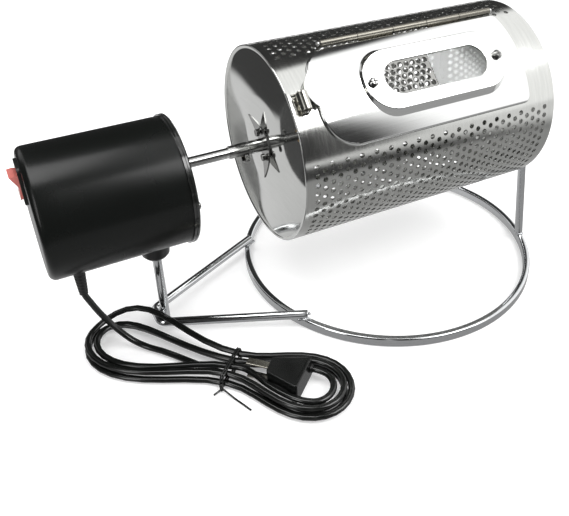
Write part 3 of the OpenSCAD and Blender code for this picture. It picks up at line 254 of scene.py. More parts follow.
roundAxle = (1, 0.05, 0.05)          # lines that run round the axle
alongAxle = (0.05, 1, 1)             # lines that run along it
finishes = {
    "chrome": metal("brightChrome", ((0.58, 0.59, 0.60), (0.70, 0.71, 0.72)), 0.03, 0.09, wave=0.12,
                    bump=0.05),
    "weld": metal("chromedWeld", ((0.42, 0.43, 0.44), (0.62, 0.63, 0.64)), 0.14, 0.3, lines=420.0, wave=0.6,
                  bump=0.3),
    "doorSteel": metal("polishedDoorSheet", ((0.74, 0.745, 0.735), (0.84, 0.845, 0.835)), 0.05, 0.12,
                       (0.03, 1, 1), 900.0, 16.0, 0.25, 0.10),
    "drumSteel": metal("rolledDrumSheet", ((0.53, 0.535, 0.515), (0.66, 0.665, 0.645)), 0.10, 0.20,
                       roundAxle, 700.0, 20.0, 0.25, 0.08),
    "drumInside": metal("mattDrumInside", ((0.76, 0.76, 0.74), (0.86, 0.86, 0.84)), 0.52, 0.70,
                        roundAxle, 700.0, 24.0, 0.25, 0.08, 0.5),
    "punchedEdge": metal("punchedHoleEdge", ((0.34, 0.34, 0.33), (0.48, 0.48, 0.47)), 0.2, 0.34, lines=900.0,
                         bump=0.2),
    "discSteel": metal("rolledDiscSheet", ((0.64, 0.645, 0.63), (0.74, 0.745, 0.73)), 0.05, 0.11,
                       (1, 0.06, 1), 700.0, 18.0, 0.4, 0.08),
    "leafSteel": metal("springLeafSteel", ((0.26, 0.26, 0.255), (0.40, 0.40, 0.39)), 0.14, 0.26, lines=900.0,
                       patches=60.0, bump=0.1),
    "frameSteel": metal("polishedFrameSheet", ((0.72, 0.725, 0.715), (0.83, 0.835, 0.825)), 0.05, 0.12,
                        (0.04, 1, 1), 900.0, 20.0, 0.2, 0.08),
    "ventSteel": metal("perforatedVentSheet", ((0.085, 0.085, 0.082), (0.125, 0.125, 0.12)), 0.24, 0.36,
                       lines=900.0, patches=60.0, bump=0.1),
    "rollerSteel": metal("drawnRollerTube", ((0.46, 0.45, 0.41), (0.58, 0.57, 0.53)), 0.12, 0.22, alongAxle,
                         900.0, 60.0, bump=0.1),
    "turned": metal("turnedSteel", ((0.44, 0.44, 0.43), (0.58, 0.58, 0.57)), 0.10, 0.20, roundAxle,
                    1500.0, 40.0, 0.1, 0.15),
    "screw": metal("screwSteel", ((0.22, 0.22, 0.215), (0.36, 0.36, 0.35)), 0.10, 0.20, lines=900.0,
                   patches=120.0, bump=0.15),
    "hinge": metal("dullHingeSteel", ((0.11, 0.105, 0.09), (0.21, 0.20, 0.175)), 0.22, 0.36, alongAxle, 900.0,
                   60.0, bump=0.2),
    "zinc": metal("zincSheet", ((0.50, 0.51, 0.50), (0.66, 0.67, 0.66)), 0.28, 0.45, lines=300.0,
                  patches=90.0, bump=0.2),
    "ferrite": metal("ferriteAndSteel", ((0.08, 0.08, 0.085), (0.16, 0.16, 0.17)), 0.4, 0.6, lines=700.0,
                     bump=0.3),
    "bronze": metal("oiledBronze", ((0.45, 0.30, 0.15), (0.66, 0.47, 0.26)), 0.3, 0.45, lines=1200.0,
                    bump=0.25),
    "brass": metal("plainBrass", ((0.68, 0.52, 0.24), (0.82, 0.66, 0.36)), 0.2, 0.34, (0.1, 1, 1), 900.0,
                   bump=0.15),
    "nickel": metal("nickelBlade", ((0.30, 0.29, 0.25), (0.44, 0.42, 0.37)), 0.18, 0.3, (0.2, 1, 1), 900.0,
                    bump=0.12),
    "winding": metal("copperWinding", ((0.40, 0.16, 0.06), (0.66, 0.30, 0.14)), 0.3, 0.42, roundAxle, 2600.0,
                     bump=0.6),
    "housing": moulded("blackHousing", ((0.0028, 0.0034, 0.0030), (0.0048, 0.0056, 0.0050)), 0.22, 0.30,
                       700.0, 9.0, 0.03,
                       **{"Coat Weight": 0.08, "Coat Roughness": 0.16, "Specular IOR Level": 0.26}),
    "cover": moulded("glossyBlackCover", ((0.004, 0.0044, 0.004), (0.008, 0.0086, 0.008)), 0.10, 0.17, 900.0,
                     40.0, 0.03, **{"Coat Weight": 0.8, "Coat Roughness": 0.08, "Specular IOR Level": 0.7}),
    "switch": moulded("blackSwitch", ((0.006, 0.007, 0.006), (0.012, 0.013, 0.012)), 0.3, 0.42, 1200.0, 60.0,
                      0.08),
    "collar": moulded("blackCollar", ((0.004, 0.004, 0.004), (0.009, 0.009, 0.009)), 0.24, 0.36, 900.0, 40.0,
                      0.08),
    "rocker": moulded("redRocker", ((0.55, 0.13, 0.11), (0.70, 0.24, 0.21)), 0.12, 0.24, 900.0, 60.0, 0.03,
                      **{"Transmission Weight": 0.12, "Coat Weight": 0.3, "Coat Roughness": 0.08}),
    "cord": moulded("blackCord", ((0.0028, 0.0032, 0.0028), (0.0060, 0.0066, 0.0060)), 0.13, 0.22, 1500.0,
                    60.0, 0.04, **{"Specular IOR Level": 0.55}),
    "rubber": moulded("softBlackRubber", ((0.005, 0.005, 0.005), (0.011, 0.011, 0.011)), 0.34, 0.48, 1500.0,
                      60.0, 0.1),
    "plug": moulded("blackPlug", ((0.0030, 0.0034, 0.0032), (0.0062, 0.0068, 0.0064)), 0.16, 0.27, 1100.0,
                    40.0, 0.05),
    "nylon": moulded("naturalNylon", ((0.74, 0.72, 0.64), (0.86, 0.85, 0.79)), 0.35, 0.5, 900.0, 60.0, 0.06,
                     **{"Subsurface Weight": 0.1, "Subsurface Scale": 0.001}),
    "glass": moulded("windowGlass", ((0.93, 0.96, 0.95), (0.97, 0.98, 0.98)), 0.03, 0.10, 500.0, 30.0, 0.01,
                     **{"Transmission Weight": 1.0, "IOR": 1.46}),
    "floor": moulded("paleFloor", ((0.80, 0.80, 0.80), (0.84, 0.84, 0.84)), 0.7, 0.85, 300.0, 4.0, 0.01),
}
print("materials made:", len(finishes))


# ---- mesh helpers; points are millimetres in the maker's frame ----
def link(o):
    bpy.context.scene.collection.objects.link(o)
    return o


def paint(me, *names):
    me.materials.clear()
    for name in names:
        me.materials.append(finishes[name])


def makeObject(name, points, faces, finish, smooth=True):
    me = bpy.data.meshes.new(name)
    me.from_pydata([world(p) for p in points], [], faces)
    me.validate()
    paint(me, finish)
    if smooth:
        me.shade_smooth()
    return link(bpy.data.objects.new(name, me))


def finishObject(o, body, slot, *nodes):
    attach(o, body)
    if nodes:
        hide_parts(*nodes)
    return o


def bake(o):
    # the object's own modifiers are applied and taken off
    dg = bpy.context.evaluated_depsgraph_get()
    dg.update()
    me = bpy.data.meshes.new_from_object(o.evaluated_get(dg), preserve_all_data_layers=True, depsgraph=dg)
    o.modifiers.clear()
    old = o.data
    o.data = me
    me.name = o.name
    bpy.data.meshes.remove(old)
    return o


def openMesh(me):
    bm = bmesh.new()
    bm.from_mesh(me)
    return bm


def closeMesh(bm, me):
    bm.to_mesh(me)
    bm.free()


def outward(o):
    # doubles are merged and the faces turned outwards
    bm = openMesh(o.data)
    bmesh.ops.remove_doubles(bm, verts=bm.verts, dist=1e-7)
    bmesh.ops.recalc_face_normals(bm, faces=bm.faces)
    closeMesh(bm, o.data)
    return o


def keepEdges(o, degrees):
    # edges bent by more than this stay sharp
    o.data.set_sharp_from_angle(angle=math.radians(degrees))
    return o


def roundEdges(o, width, segments=3, angle=35):
    b = o.modifiers.new("edges", "BEVEL")
    b.width, b.segments, b.limit_method, b.angle_limit = width / 1000, segments, "ANGLE", math.radians(angle)
    b.use_clamp_overlap = True
    b.miter_outer = "MITER_ARC"
    w = o.modifiers.new("shading", "WEIGHTED_NORMAL")
    w.keep_sharp = False
    w.weight = 60
    return bake(o)


def tangentsOf(points):
    last = len(points) - 1
    return [(points[min(i + 1, last)] - points[max(i - 1, 0)]).normalized() for i in range(last + 1)]


def square(side, tangent):
    # the side vector, turned at right angles to the tangent
    return (side - tangent * side.dot(tangent)).normalized()


def carried(tangents):
    # a side and an up vector at each point, carried along without twist
    side = square(tangents[0].orthogonal(), tangents[0])
    result = [(side, tangents[0].cross(side))]
    for before, tangent in zip(tangents, tangents[1:]):
        side = square(before.rotation_difference(tangent) @ side, tangent)
        result.append((side, tangent.cross(side)))
    return result


def bands(rings, n, closed=False):
    # faces between rings of n points each; in a closed form the last ring meets the first
    return [(i * n + j, i * n + (j + 1) % n, (i + 1) % rings * n + (j + 1) % n, (i + 1) % rings * n + j)
            for i in range(rings if closed else rings - 1) for j in range(n)]


def sweep(points, radius, sides=24, ends=0.6, section=None, sideList=None):
    # a closed tube along the points; the ends are rounded by the given number of millimetres
    pts = [Vector(p) for p in points]
    tangents = tangentsOf(pts)
    vectors = sideList or carried(tangents)
    shape = section or [(cosD(360 * j / sides), sinD(360 * j / sides)) for j in range(sides)]
    n, last = len(shape), len(pts) - 1
    verts = []

    def ring(centre, i, r):
        side, up = vectors[i]
        verts.extend(centre + side * (x * r) + up * (y * r) for x, y in shape)

    turns = (10, 40, 70) if ends else ()
    rounds = [(ends * (1 - sinD(a)), radius - ends * (1 - cosD(90 - a))) for a in turns] + [(ends, radius)]
    for inset, r in rounds:
        ring(pts[0] + tangents[0] * inset, 0, r)
    for i in range(1, last):
        ring(pts[i], i, radius)
    for inset, r in reversed(rounds):
        ring(pts[last] - tangents[last] * inset, last, r)
    caps = [tuple(reversed(range(n))), tuple(range(len(verts) - n, len(verts)))]
    return verts, bands(len(verts) // n, n) + caps


def lathe(profile, centre, axis="x", steps=128):
    # a closed loop of (along, radius) pairs turned round an axis along x or z
    x, y, z = centre
    verts = []
    for k in range(steps):
        c, s = cosD(360 * k / steps), sinD(360 * k / steps)
        if axis == "x":
            verts += [(x + reach, y + r * c, z + r * s) for reach, r in profile]
        else:
            verts += [(x + r * c, y + r * s, z + reach) for reach, r in profile]
    return verts, bands(steps, len(profile), True)


def arc(cx, cy, r, a0, a1, count):
    turns = [a0 + (a1 - a0) * k / count for k in range(count + 1)]
    return [(cx + r * cosD(a), cy + r * sinD(a)) for a in turns]


def prism(outline, z0, z1, place):
    n = len(outline)
    v = [place(x, y, z0) for x, y in outline] + [place(x, y, z1) for x, y in outline]
    f = [tuple(reversed(range(n))), tuple(range(n, 2 * n))]
    f += [(i, (i + 1) % n, n + (i + 1) % n, n + i) for i in range(n)]
    return v, f


def joined(name, parts, finish):
    points, faces = [], []
    for v, f in parts:
        base = len(points)
        points += v
        faces += [tuple(base + i for i in face) for face in f]
    return makeObject(name, points, faces, finish)


def radialPoint(turn, x, y, z):
    # the drum's own frame at a turn: y backwards over the drum, z outwards
    return (x, y * cosD(turn) - z * sinD(turn), axleZ + y * sinD(turn) + z * cosD(turn))


def readMesh(items, name, width=1, kind=np.float32):
    values = np.empty(len(items) * width, dtype=kind)
    items.foreach_get(name, values)
    return values.reshape(-1, width) if width > 1 else values


def trueShading(o, axisZ, radii, tolerance=0.08, spread=14):
    # faces that follow a turned surface get that surface's exact normals
    me = o.data
    normals = readMesh(me.corner_normals, "vector", 3)
    radial = readMesh(me.vertices, "co", 3)[readMesh(me.loops, "vertex_index", 1, np.int32)]
    faceNormals = readMesh(me.polygons, "normal", 3)
    faceNormals = np.repeat(faceNormals, readMesh(me.polygons, "loop_total", 1, np.int32), axis=0)
    radial[:, 0] = 0
    radial[:, 2] -= axisZ / 1000
    length = np.linalg.norm(radial, axis=1)
    radial /= np.maximum(length, 1e-9)[:, None]
    facing = (faceNormals * radial).sum(axis=1)
    near = np.any([np.abs(length * 1000 - r) < tolerance for r in radii], axis=0)
    use = near & (np.abs(facing) > cosD(spread))
    normals[use] = radial[use] * np.sign(facing[use])[:, None]
    me.normals_split_custom_set([tuple(v) for v in normals])


def dressNode(node, finish, body, slot, width=0.25, segments=2, angle=35, axisZ=None, radii=(), name=None):
    # a CAD node's own form with softened edges and true shading on its turned faces
    me = frame["nodes"][node].data.copy()
    bm = openMesh(me)
    bmesh.ops.remove_doubles(bm, verts=bm.verts, dist=2e-6)
    bmesh.ops.dissolve_limit(bm, angle_limit=math.radians(0.6), verts=bm.verts, edges=bm.edges)
    closeMesh(bm, me)
    paint(me, finish)
    me.shade_smooth()
    o = link(bpy.data.objects.new(name or node + "Dressed", me))
    if width:
        roundEdges(o, width, segments, angle)
    else:
        keepEdges(o, angle)
    if axisZ is not None:
        trueShading(o, axisZ, radii)
    return finishObject(o, body, slot, node)


# ---- geometry node helpers ----
def newTree(name, floats, counts):
    # a tree with its named inputs; the last of them is the material
    t = bpy.data.node_groups.new(name, "GeometryNodeTree")
    t.interface.new_socket("Geometry", in_out="INPUT", socket_type="NodeSocketGeometry")
    for kind, values in (("NodeSocketFloat", floats), ("NodeSocketInt", counts)):
        for n, value in values.items():
            t.interface.new_socket(n, in_out="INPUT", socket_type=kind).default_value = value
    t.interface.new_socket("Material", in_out="INPUT", socket_type="NodeSocketMaterial")
    t.interface.new_socket("Geometry", in_out="OUTPUT", socket_type="NodeSocketGeometry")
    return t, t.nodes.new("NodeGroupInput").outputs, t.nodes.new("NodeGroupOutput").inputs[0]


def useTree(o, tree, values):
    # inputs are set by their identifiers, before the piece is first evaluated
    m = o.modifiers.new(tree.name, "NODES")
    m.node_group = tree
    for item in tree.interface.items_tree:
        if item.item_type == "SOCKET" and item.in_out == "INPUT" and item.name in values:
            m[item.identifier] = values[item.name]


# ---- floor ----
# tones of the floor's painted reflection, with the even glow that the camera sees
floorSet = {"half": 3000, "glow": 0.28, "front": 0.38, "behind": 0.70, "farLeft": 0.06, "farRight": 0.95,
            "frontToBehind": (-0.10, 0.10), "leftToRight": (0.28, 0.55), "rim": (0.40, 0.46), "deeper": 0.25,
            "leftEdge": -0.42, "leftBlur": 0.02, "lean": 0.12}


def floorFinish(d):
    # painted reflection: to glossy rays the floor glows as a grey table top that ends at the left and in the
    # distance, its tones set by place and not by any light; to the camera it glows evenly pale
    t = finishes["floor"].node_tree
    place = addNode(t, "ShaderNodeTexCoord")["Object"]
    x, y, z = addNode(t, "ShaderNodeSeparateXYZ", {0: place})
    near = ramp(t, y, *d["frontToBehind"], d["front"], d["behind"])
    far = ramp(t, x, *d["leftToRight"], d["farLeft"], d["farRight"])
    reach = addNode(t, "ShaderNodeVectorMath", {0: place}, operation="LENGTH")["Value"]
    # the painted table reaches further behind the roaster
    reach = calc(t, "MULTIPLY_ADD", calc(t, "MAXIMUM", y, 0), -d["deeper"], reach)
    tone = ramp(t, reach, *d["rim"], near, far)
    side = calc(t, "MULTIPLY_ADD", y, d["lean"], x)
    tone = ramp(t, side, d["leftEdge"] - d["leftBlur"], d["leftEdge"] + d["leftBlur"], d["farLeft"], tone)
    # the painted reflection: an emission that only glossy rays see
    paintedReflection = addNode(t, "ShaderNodeEmission", {"Strength": tone})[0]
    seen = addNode(t, "ShaderNodeLightPath")
    bsdf = t.nodes["Principled BSDF"]
    feed(t, (1, 1, 1, 1), bsdf.inputs["Emission Color"])
    feed(t, ramp(t, seen["Is Camera Ray"], 0.0, 1.0, 0.0, d["glow"]), bsdf.inputs["Emission Strength"])
    mixed = addNode(t, "ShaderNodeMixShader", {0: seen["Is Glossy Ray"], 1: bsdf.outputs[0], 2: paintedReflection})[0]
    feed(t, mixed, t.nodes["Material Output"].inputs["Surface"])


def makeFloor(half):
    corners = [(-half, -half, 0), (half, -half, 0), (half, half, 0), (-half, half, 0)]
    o = makeObject("floor", corners, [(0, 1, 2, 3)], "floor", False)
    o.data.transform(Matrix.Translation((homeX / 1000, 0, 0)))
    return o


floorFinish(floorSet)
floor = makeFloor(floorSet["half"])

# ---- mains lead, first of all the pieces ----
leadSet = {"width": 5.0, "thick": 4.3, "groove": 0.16, "grooveHalf": 0.17, "waist": (-64, -80), "turn": -45,
           "lowZ": 3.2, "layer": 5.5, "leftReach": 121, "rightReach": 88, "waistHalf": 12.5, "leftSpread": 41,
           "rightSpread": 34, "sideStep": 7.6, "endStep": 7, "rideOut": 8, "rideUp": 7, "turns": 3,
           "blunt": 0.6, "slim": 2.2, "exit": (-148.5, -8, 81.489), "length": 1.67}
routeDown = [(-148.5, -8, 77.489), (-148.5, -8, 67.489), (-148.5, -8, 57.489), (-145.5, -8, 48),
             (-140, -8.5, 34), (-132, -11, 19), (-123, -17, 8), (-114, -25, 3.4), (-105, -35, 3.2),
             (-97, -45.5, 3.2), (-88, -58, 3.2), (-77.5, -72, 3.2), (-70.5, -79.5, 3.2)]
tailPlan = [(6, -0.4), (12, -1.6), (20, -4.8), (27, -8.4), (34, -11.4), (40, -13.4), (47, -15.3),
            (53.5, -16.4), (60.5, -16.5), (68, -14.5), (73.5, -9), (75.5, -1.5), (73.5, 6), (68, 11.5),
            (60.5, 13.5), (56, 13.5)]


def inHank(s, w, z):
    # the hank's own frame: s along it from the waist, w across it
    c, q = cosD(leadSet["turn"]), sinD(leadSet["turn"])
    return (leadSet["waist"][0] + s * c - w * q, leadSet["waist"][1] + s * q + w * c, z)


def hankPoint(t):
    # t counts the turns: the first lies on the table and works outwards, the rest lie on it and work inwards
    d = leadSet
    turn = -90 + 360 * t
    c, side = cosD(turn), sinD(turn)
    inward = 1 - t if t < 1 else 0 if t < 1.5 else t - 1.5
    rise = 0 if t < 1 else 1 if t > 1.5 else (1 - cosD((t - 1) * 360)) / 2
    ride = sinD((t - 1.5) * 720) ** 2 if 1.5 < t < 1.75 else 0      # over the corner of the stand's bend
    hump = (1 + d["blunt"]) * c * c / (c * c + d["blunt"])
    spread = d["rightSpread"] * hump if c > 0 else d["leftSpread"] * ((-c) ** d["slim"] if side > 0 else hump)
    sign = (c > 0) - (c < 0)
    s = (d["leftReach"] if c < 0 else d["rightReach"]) * c - sign * d["endStep"] * inward * abs(c)
    w = side * (d["waistHalf"] + spread - d["sideStep"] * inward) + d["rideOut"] * ride
    return inHank(s, w, d["lowZ"] + d["layer"] * rise + d["rideUp"] * ride)


def smoothPath(p, steps):
    # a smooth curve through the points
    n, out = len(p) - 1, []
    for i in range(n):
        a, b, c, d = (Vector(p[max(i - 1, 0)]), Vector(p[i]), Vector(p[i + 1]), Vector(p[min(i + 2, n)]))
        second, third = 2 * a - 5 * b + 4 * c - d, 3 * b - a - 3 * c + d
        for j in range(steps):
            t = j / steps
            out.append(0.5 * (2 * b + (c - a) * t + second * t * t + third * t ** 3))
    return out + [Vector(p[n])]


def makeLead(perTurn=48, corners=28):
    d = leadSet
    hank = [Vector(hankPoint(i / perTurn)) for i in range(perTurn * d["turns"] + 1)]
    down = smoothPath(routeDown + [tuple(hank[0])], 5)
    tail = smoothPath([tuple(hank[-1])] + [inHank(s, w, d["lowZ"] + d["layer"]) for s, w in tailPlan], 5)
    path = [Vector(d["exit"])] + down + hank[1:] + tail[1:]
    # the flat of the lead lies on the table; up the free stretch it is carried along without a twist
    tangents = tangentsOf(path)
    vectors = [None] * len(path)
    for i in reversed(range(len(path))):
        if i >= len(down) + 4:
            side = tangents[i].cross(Vector((0, 0, 1))).normalized()
        else:
            side = square(tangents[i + 1].rotation_difference(tangents[i]) @ side, tangents[i])
        vectors[i] = (side, side.cross(tangents[i]))
    half, r = d["width"] / 2, d["thick"] / 2
    shape = []                       # two cores side by side with a shallow groove between
    for k in range(corners):
        x, y = cosD(360 * k / corners), sinD(360 * k / corners)
        shape.append((x * half, y * r * (1 - d["groove"] * math.exp(-(x / d["grooveHalf"]) ** 2))))
    tube = sweep(path, 1.0, section=shape, ends=0, sideList=vectors)
    return outward(makeObject("mainsLead", *tube, "cord")), path


mainsLead, leadPath = makeLead()
leadLength = sum((b - a).length for a, b in zip(leadPath, leadPath[1:]))
print("mains lead:", len(leadPath), "points,", round(leadLength, 1), "mm")
finishObject(mainsLead, "stand", "black_cord", "lead_cable", "lead_hank", "lead_tail")

# ---- twist tie, plug and grommet ----
tieSet = {"wire": 0.75, "half": 16.3, "top": 12.2, "from": -4.6, "pitch": 1.7, "loops": 2, "corner": 0.75,
          "knotFrom": (-3.4, -0.9, 4.6), "knotRun": (1.2, -1.7, -2.6), "knotR": 0.9, "knotTurn": 46,
          "tailFrom": (-2.4, -1.6, 2.6), "drop": 2.2, "thinner": 0.95,
          "tails": [(28.6, -22, 0.7, 0.32), (7.5, -118, 1.6, 0.24)]}       # reach, direction, end height, bow


def makeTie():
    d = tieSet
    middle, swing = (d["top"] + d["wire"]) / 2, (d["top"] - d["wire"]) / 2
    loops, knot, tails = [], [], []
    for k in range(36 * d["loops"] + 1):                      # they hug the bundle, round cornered
        c, q = cosD(-100 - 10 * k), sinD(-100 - 10 * k)
        m = max(abs(c), abs(q)) * d["corner"] + 1 - d["corner"]
        w, z = d["half"] * max(-1, min(1, c / m)), middle + swing * max(-1, min(1, q / m))
        loops.append(inHank(d["from"] + d["pitch"] * k / 36, w, z))
    for k in range(46):              # the ends twisted round each other beside the bundle
        a = d["knotTurn"] * k
        s, w, z = [start + run * k / 45 for start, run in zip(d["knotFrom"], d["knotRun"])]
        knot.append(inHank(s + d["knotR"] * cosD(a), w - d["half"], z + d["knotR"] * sinD(a)))
    s, w, z = d["tailFrom"]
    for reach, turn, low, bow in d["tails"]:
        tails.append([inHank(s + reach * f * cosD(turn), w - d["half"] + reach * f * sinD(turn),
                             z + (low - z) * min(1, f * d["drop"]) + bow * sinD(180 * f))
                      for f in [k / 14 for k in range(15)]])
    parts = [sweep(loops, d["wire"], 10, 0.2), sweep(knot, d["wire"], 8, 0.2)]
    parts += [sweep(tail, d["wire"] * d["thinner"], 10, 0.2) for tail in tails]
    return outward(joined("twistTie", parts, "cord"))


twistTie = finishObject(makeTie(), "stand", "black_cord", "twist_tie")

plugSet = {"outline": [(53.5, 17.5), (54.5, 16), (53, -13), (50, -13.4), (28, -6.2), (27, -4.5), (27, 8),
                       (28.5, 9.6)],
           "low": 0.05, "height": 17.4, "edge": 1.5, "inset": 2.4, "sunk": 0.5}


def makePlug():
    d = plugSet
    o = outward(makeObject("plugBody", *prism(d["outline"], d["low"], d["height"], inHank), "plug"))
    bm = openMesh(o.data)
    for top in [f for f in bm.faces if f.normal.z > 0.9]:
        bmesh.ops.inset_region(bm, faces=[top], thickness=d["inset"] / 1000, depth=-d["sunk"] / 1000)
    closeMesh(bm, o.data)
    return roundEdges(o, d["edge"], 4, 30)


plugBody = finishObject(makePlug(), "stand", "black_plug", "plug_body")

bootSet = {"from": (53.2, 13.5, 8.7), "to": (56.2, 13.5, 8.7), "flat": 0.88, "corners": 32,
           "ribs": [(0, 3.6), (0.25, 3.7), (0.3, 3.3), (0.42, 3.3), (0.46, 3.55), (0.62, 3.5), (0.66, 3.1),
                    (0.78, 3.1), (0.82, 3.35), (0.96, 3.25), (1, 3.0)]}


def makeBoot():
    # the ribbed boot where the lead runs into the plug
    d, n, up = bootSet, bootSet["corners"], Vector((0, 0, 1))
    a, b = Vector(inHank(*d["from"])), Vector(inHank(*d["to"]))
    side = (b - a).normalized().cross(up).normalized()
    verts = [a + (b - a) * f + side * (r * cosD(360 * k / n)) + up * (r * d["flat"] * sinD(360 * k / n))
             for f, r in d["ribs"] for k in range(n)]
    faces = bands(len(d["ribs"]), n) + [tuple(range(n)), tuple(range(len(verts) - n, len(verts)))]
    return outward(makeObject("plugBoot", verts, faces, "plug"))


plugBoot = finishObject(makeBoot(), "stand", "black_plug")
plugBlades = dressNode("plug_blades", "nickel", "stand", "gear_brass", 0.35, 3, name="plugBlades")

grommetSet = {"hole": 2.45, "ribs": 7, "pitch": 2.8, "ribR": 4.4, "taper": 0.17}


def makeGrommet():
    # a tapered sleeve with grooves that let it bend, hung from where the lead leaves the housing
    d = grommetSet
    profile = [(3, d["hole"]), (3, 4.45), (-0.6, 4.45), (-0.8, 5.7), (-1.2, 6.0), (-2.6, 5.6), (-3.2, 4.6)]
    for k in range(d["ribs"]):
        top, r = -3.6 - k * d["pitch"], d["ribR"] - d["taper"] * k
        profile += [(top, r), (top - 1.5, r - 0.08), (top - 1.7, r - 0.55), (top - 2.5, r - 0.6)]
    profile += [(-23.8, 3.2), (-24, 3.0), (-24, d["hole"])]
    return outward(makeObject("leadSleeve", *lathe(profile, leadSet["exit"], "z", 48), "rubber"))


finishObject(makeGrommet(), "stand", "black_rubber", "lead_grommet")
print("lead, tie, plug and sleeve made")

# ---- stand ----
standSet = {"ringX": 116.64, "ringR": 125.5, "ringW": 5.4, "ringH": 8, "ringEdge": 1.5, "rodR": 3.5,
            "bendX": -97.5, "bendY": 8.9, "drop": 3, "bendR": 7, "crossX": 4.82, "crossY": 56.975,
            "crossZ": 11.1, "past": 3, "legX": 233, "legY": 47.01, "sunk": 2.2, "lean": 8.5, "archR": 34.004,
            "archZ": 92.496, "postX": -91,
            "post": [(4.7, 72.8, 20, 3.5), (72.2, 89.8, 4, 3.0)]}            # from, to, steps, radius


def straight(a, b, count):
    # points on the line from a to b
    return [tuple(p + (q - p) * k / count for p, q in zip(a, b)) for k in range(count + 1)]


def makeRing():
    d = standSet
    r0, r1, h, e = d["ringR"] - d["ringW"] / 2, d["ringR"] + d["ringW"] / 2, d["ringH"], d["ringEdge"]
    loop = arc(e, r0 + e, e, 180, 270, 5) + arc(h - e, r0 + e, e, 270, 360, 5)
    loop += arc(h - e, r1 - e, e, 0, 90, 5) + arc(e, r1 - e, e, 90, 180, 5)
    return outward(makeObject("baseRing", *lathe(loop, (d["ringX"], 0, 0), "z", 256), "chrome"))


def hairpinPath():
    # two straight legs that fall towards a small bend under the motor
    d = standSet
    tilt = math.degrees(math.atan(d["drop"] / (d["crossX"] - d["bendX"])))
    length = (d["crossX"] - d["bendX"]) / cosD(tilt)
    turn = math.degrees(math.atan((d["crossY"] - d["bendY"]) / length))
    corner = 90 - turn
    trim = d["bendR"] * math.tan(math.radians(corner / 2))
    run = (d["crossY"] - d["bendY"]) / sinD(turn)
    side = straight((run + d["past"], 0), (trim, 0), 30)
    side += arc(trim, -d["bendR"], d["bendR"], 90, 90 + corner, 12)[1:]
    c, s = cosD(turn), sinD(turn)
    placed = [(x * c - y * s, d["bendY"] + x * s + y * c) for x, y in side]
    flat = placed + [(x, -y) for x, y in reversed(placed)]
    return [(d["bendX"] + x * cosD(tilt), y, d["crossZ"] - d["drop"] + x * sinD(tilt)) for x, y in flat]


def archPath():
    # two leaning legs and a round top in one rod
    d = standSet
    top = (d["legX"], -d["archR"] * cosD(d["lean"]), d["archZ"] + d["archR"] * sinD(d["lean"]))
    leg = straight((d["legX"], -d["legY"], d["ringH"] - d["sunk"]), top, 24)
    bend = arc(0, d["archZ"], d["archR"], 180 - d["lean"], d["lean"], 48)[1:-1]
    return leg + [(d["legX"], y, z) for y, z in bend] + [(x, -y, z) for x, y, z in reversed(leg)]


def makeRod(name, path):
    return outward(makeObject(name, *sweep(path, standSet["rodR"], 32), "chrome"))


def makePost():
    x = standSet["postX"]
    parts = [sweep(straight((x, 0, low), (x, 0, high), steps), r, 32)
             for low, high, steps, r in standSet["post"]]
    return outward(joined("motorPost", parts, "chrome"))


finishObject(makeRing(), "stand", "chrome_stand", "base_ring")
finishObject(makeRod("hairpinRod", hairpinPath()), "stand", "chrome_stand", "hairpin_rod")
finishObject(makeRod("farArch", archPath()), "stand", "chrome_stand", "far_arch")
finishObject(makePost(), "stand", "chrome_stand", "motor_post")
dressNode("bearing_saddle", "chrome", "stand", "chrome_stand", 0.6, 3)
dressNode("bearing_bush", "bronze", "stand", "bronze", 0.3)

weldSet = {"bead": 1.25, "smallBead": 1.0, "postBead": 1.1, "spacing": 1.1, "voxel": 0.35,
           "ringRun": (-4.2, -1.5, 1.5, 4.2), "ringSide": 3.3, "ringLow": 2.4,
           "footX": 3.6, "footY": 3.5, "footIn": 0.1, "footUp": 0.2, "footPast": 0.4,
           "post": [(-94.4, 0.6, 5.2), (-94.6, 1.6, 7.5), (-94.2, 1.9, 10.4)],
           "saddleRun": (-3.2, 0, 3.2), "saddleY": 8.6, "saddleZ": 126.9}


def makeWeldTree():
    # overlapping beads along a line, as a welder lays them
    t, get, out = newTree("weldBeads", {"Bead Radius": 0.0012, "Spacing": 0.0011}, {})
    line = addNode(t, "GeometryNodeMeshToCurve", {"Mesh": get["Geometry"]})[0]
    points = {"Curve": line, "Length": get["Spacing"]}
    points = addNode(t, "GeometryNodeResampleCurve", points, mode="LENGTH")[0]
    ball = addNode(t, "GeometryNodeMeshIcoSphere", {"Subdivisions": 2, "Radius": get["Bead Radius"]})["Mesh"]
    size = addNode(t, "FunctionNodeRandomValue", {2: 0.85, 3: 1.15, "Seed": 7}, data_type="FLOAT")[1]
    beads = addNode(t, "GeometryNodeInstanceOnPoints", {"Points": points, "Instance": ball, "Scale": size})[0]
    real = addNode(t, "GeometryNodeRealizeInstances", {0: beads})[0]
    feed(t, addNode(t, "GeometryNodeSetMaterial", {"Geometry": real, "Material": get["Material"]})[0], out)
    return t


weldTree = makeWeldTree()


def makeWeld(name, line, bead):
    d = weldSet
    me = bpy.data.meshes.new(name)
    me.from_pydata([world(p) for p in line], [(i, i + 1) for i in range(len(line) - 1)], [])
    o = link(bpy.data.objects.new(name, me))
    useTree(o, weldTree, {"Bead Radius": bead / 1000, "Spacing": d["spacing"] / 1000,
                          "Material": finishes["weld"]})
    melt = o.modifiers.new("melt", "REMESH")
    melt.mode, melt.voxel_size, melt.use_smooth_shade = "VOXEL", d["voxel"] / 1000, True
    soft = o.modifiers.new("soft", "SMOOTH")
    soft.factor, soft.iterations = 0.5, 3
    paint(bake(o).data, "weld")
    return finishObject(o, "stand", "chrome_stand")


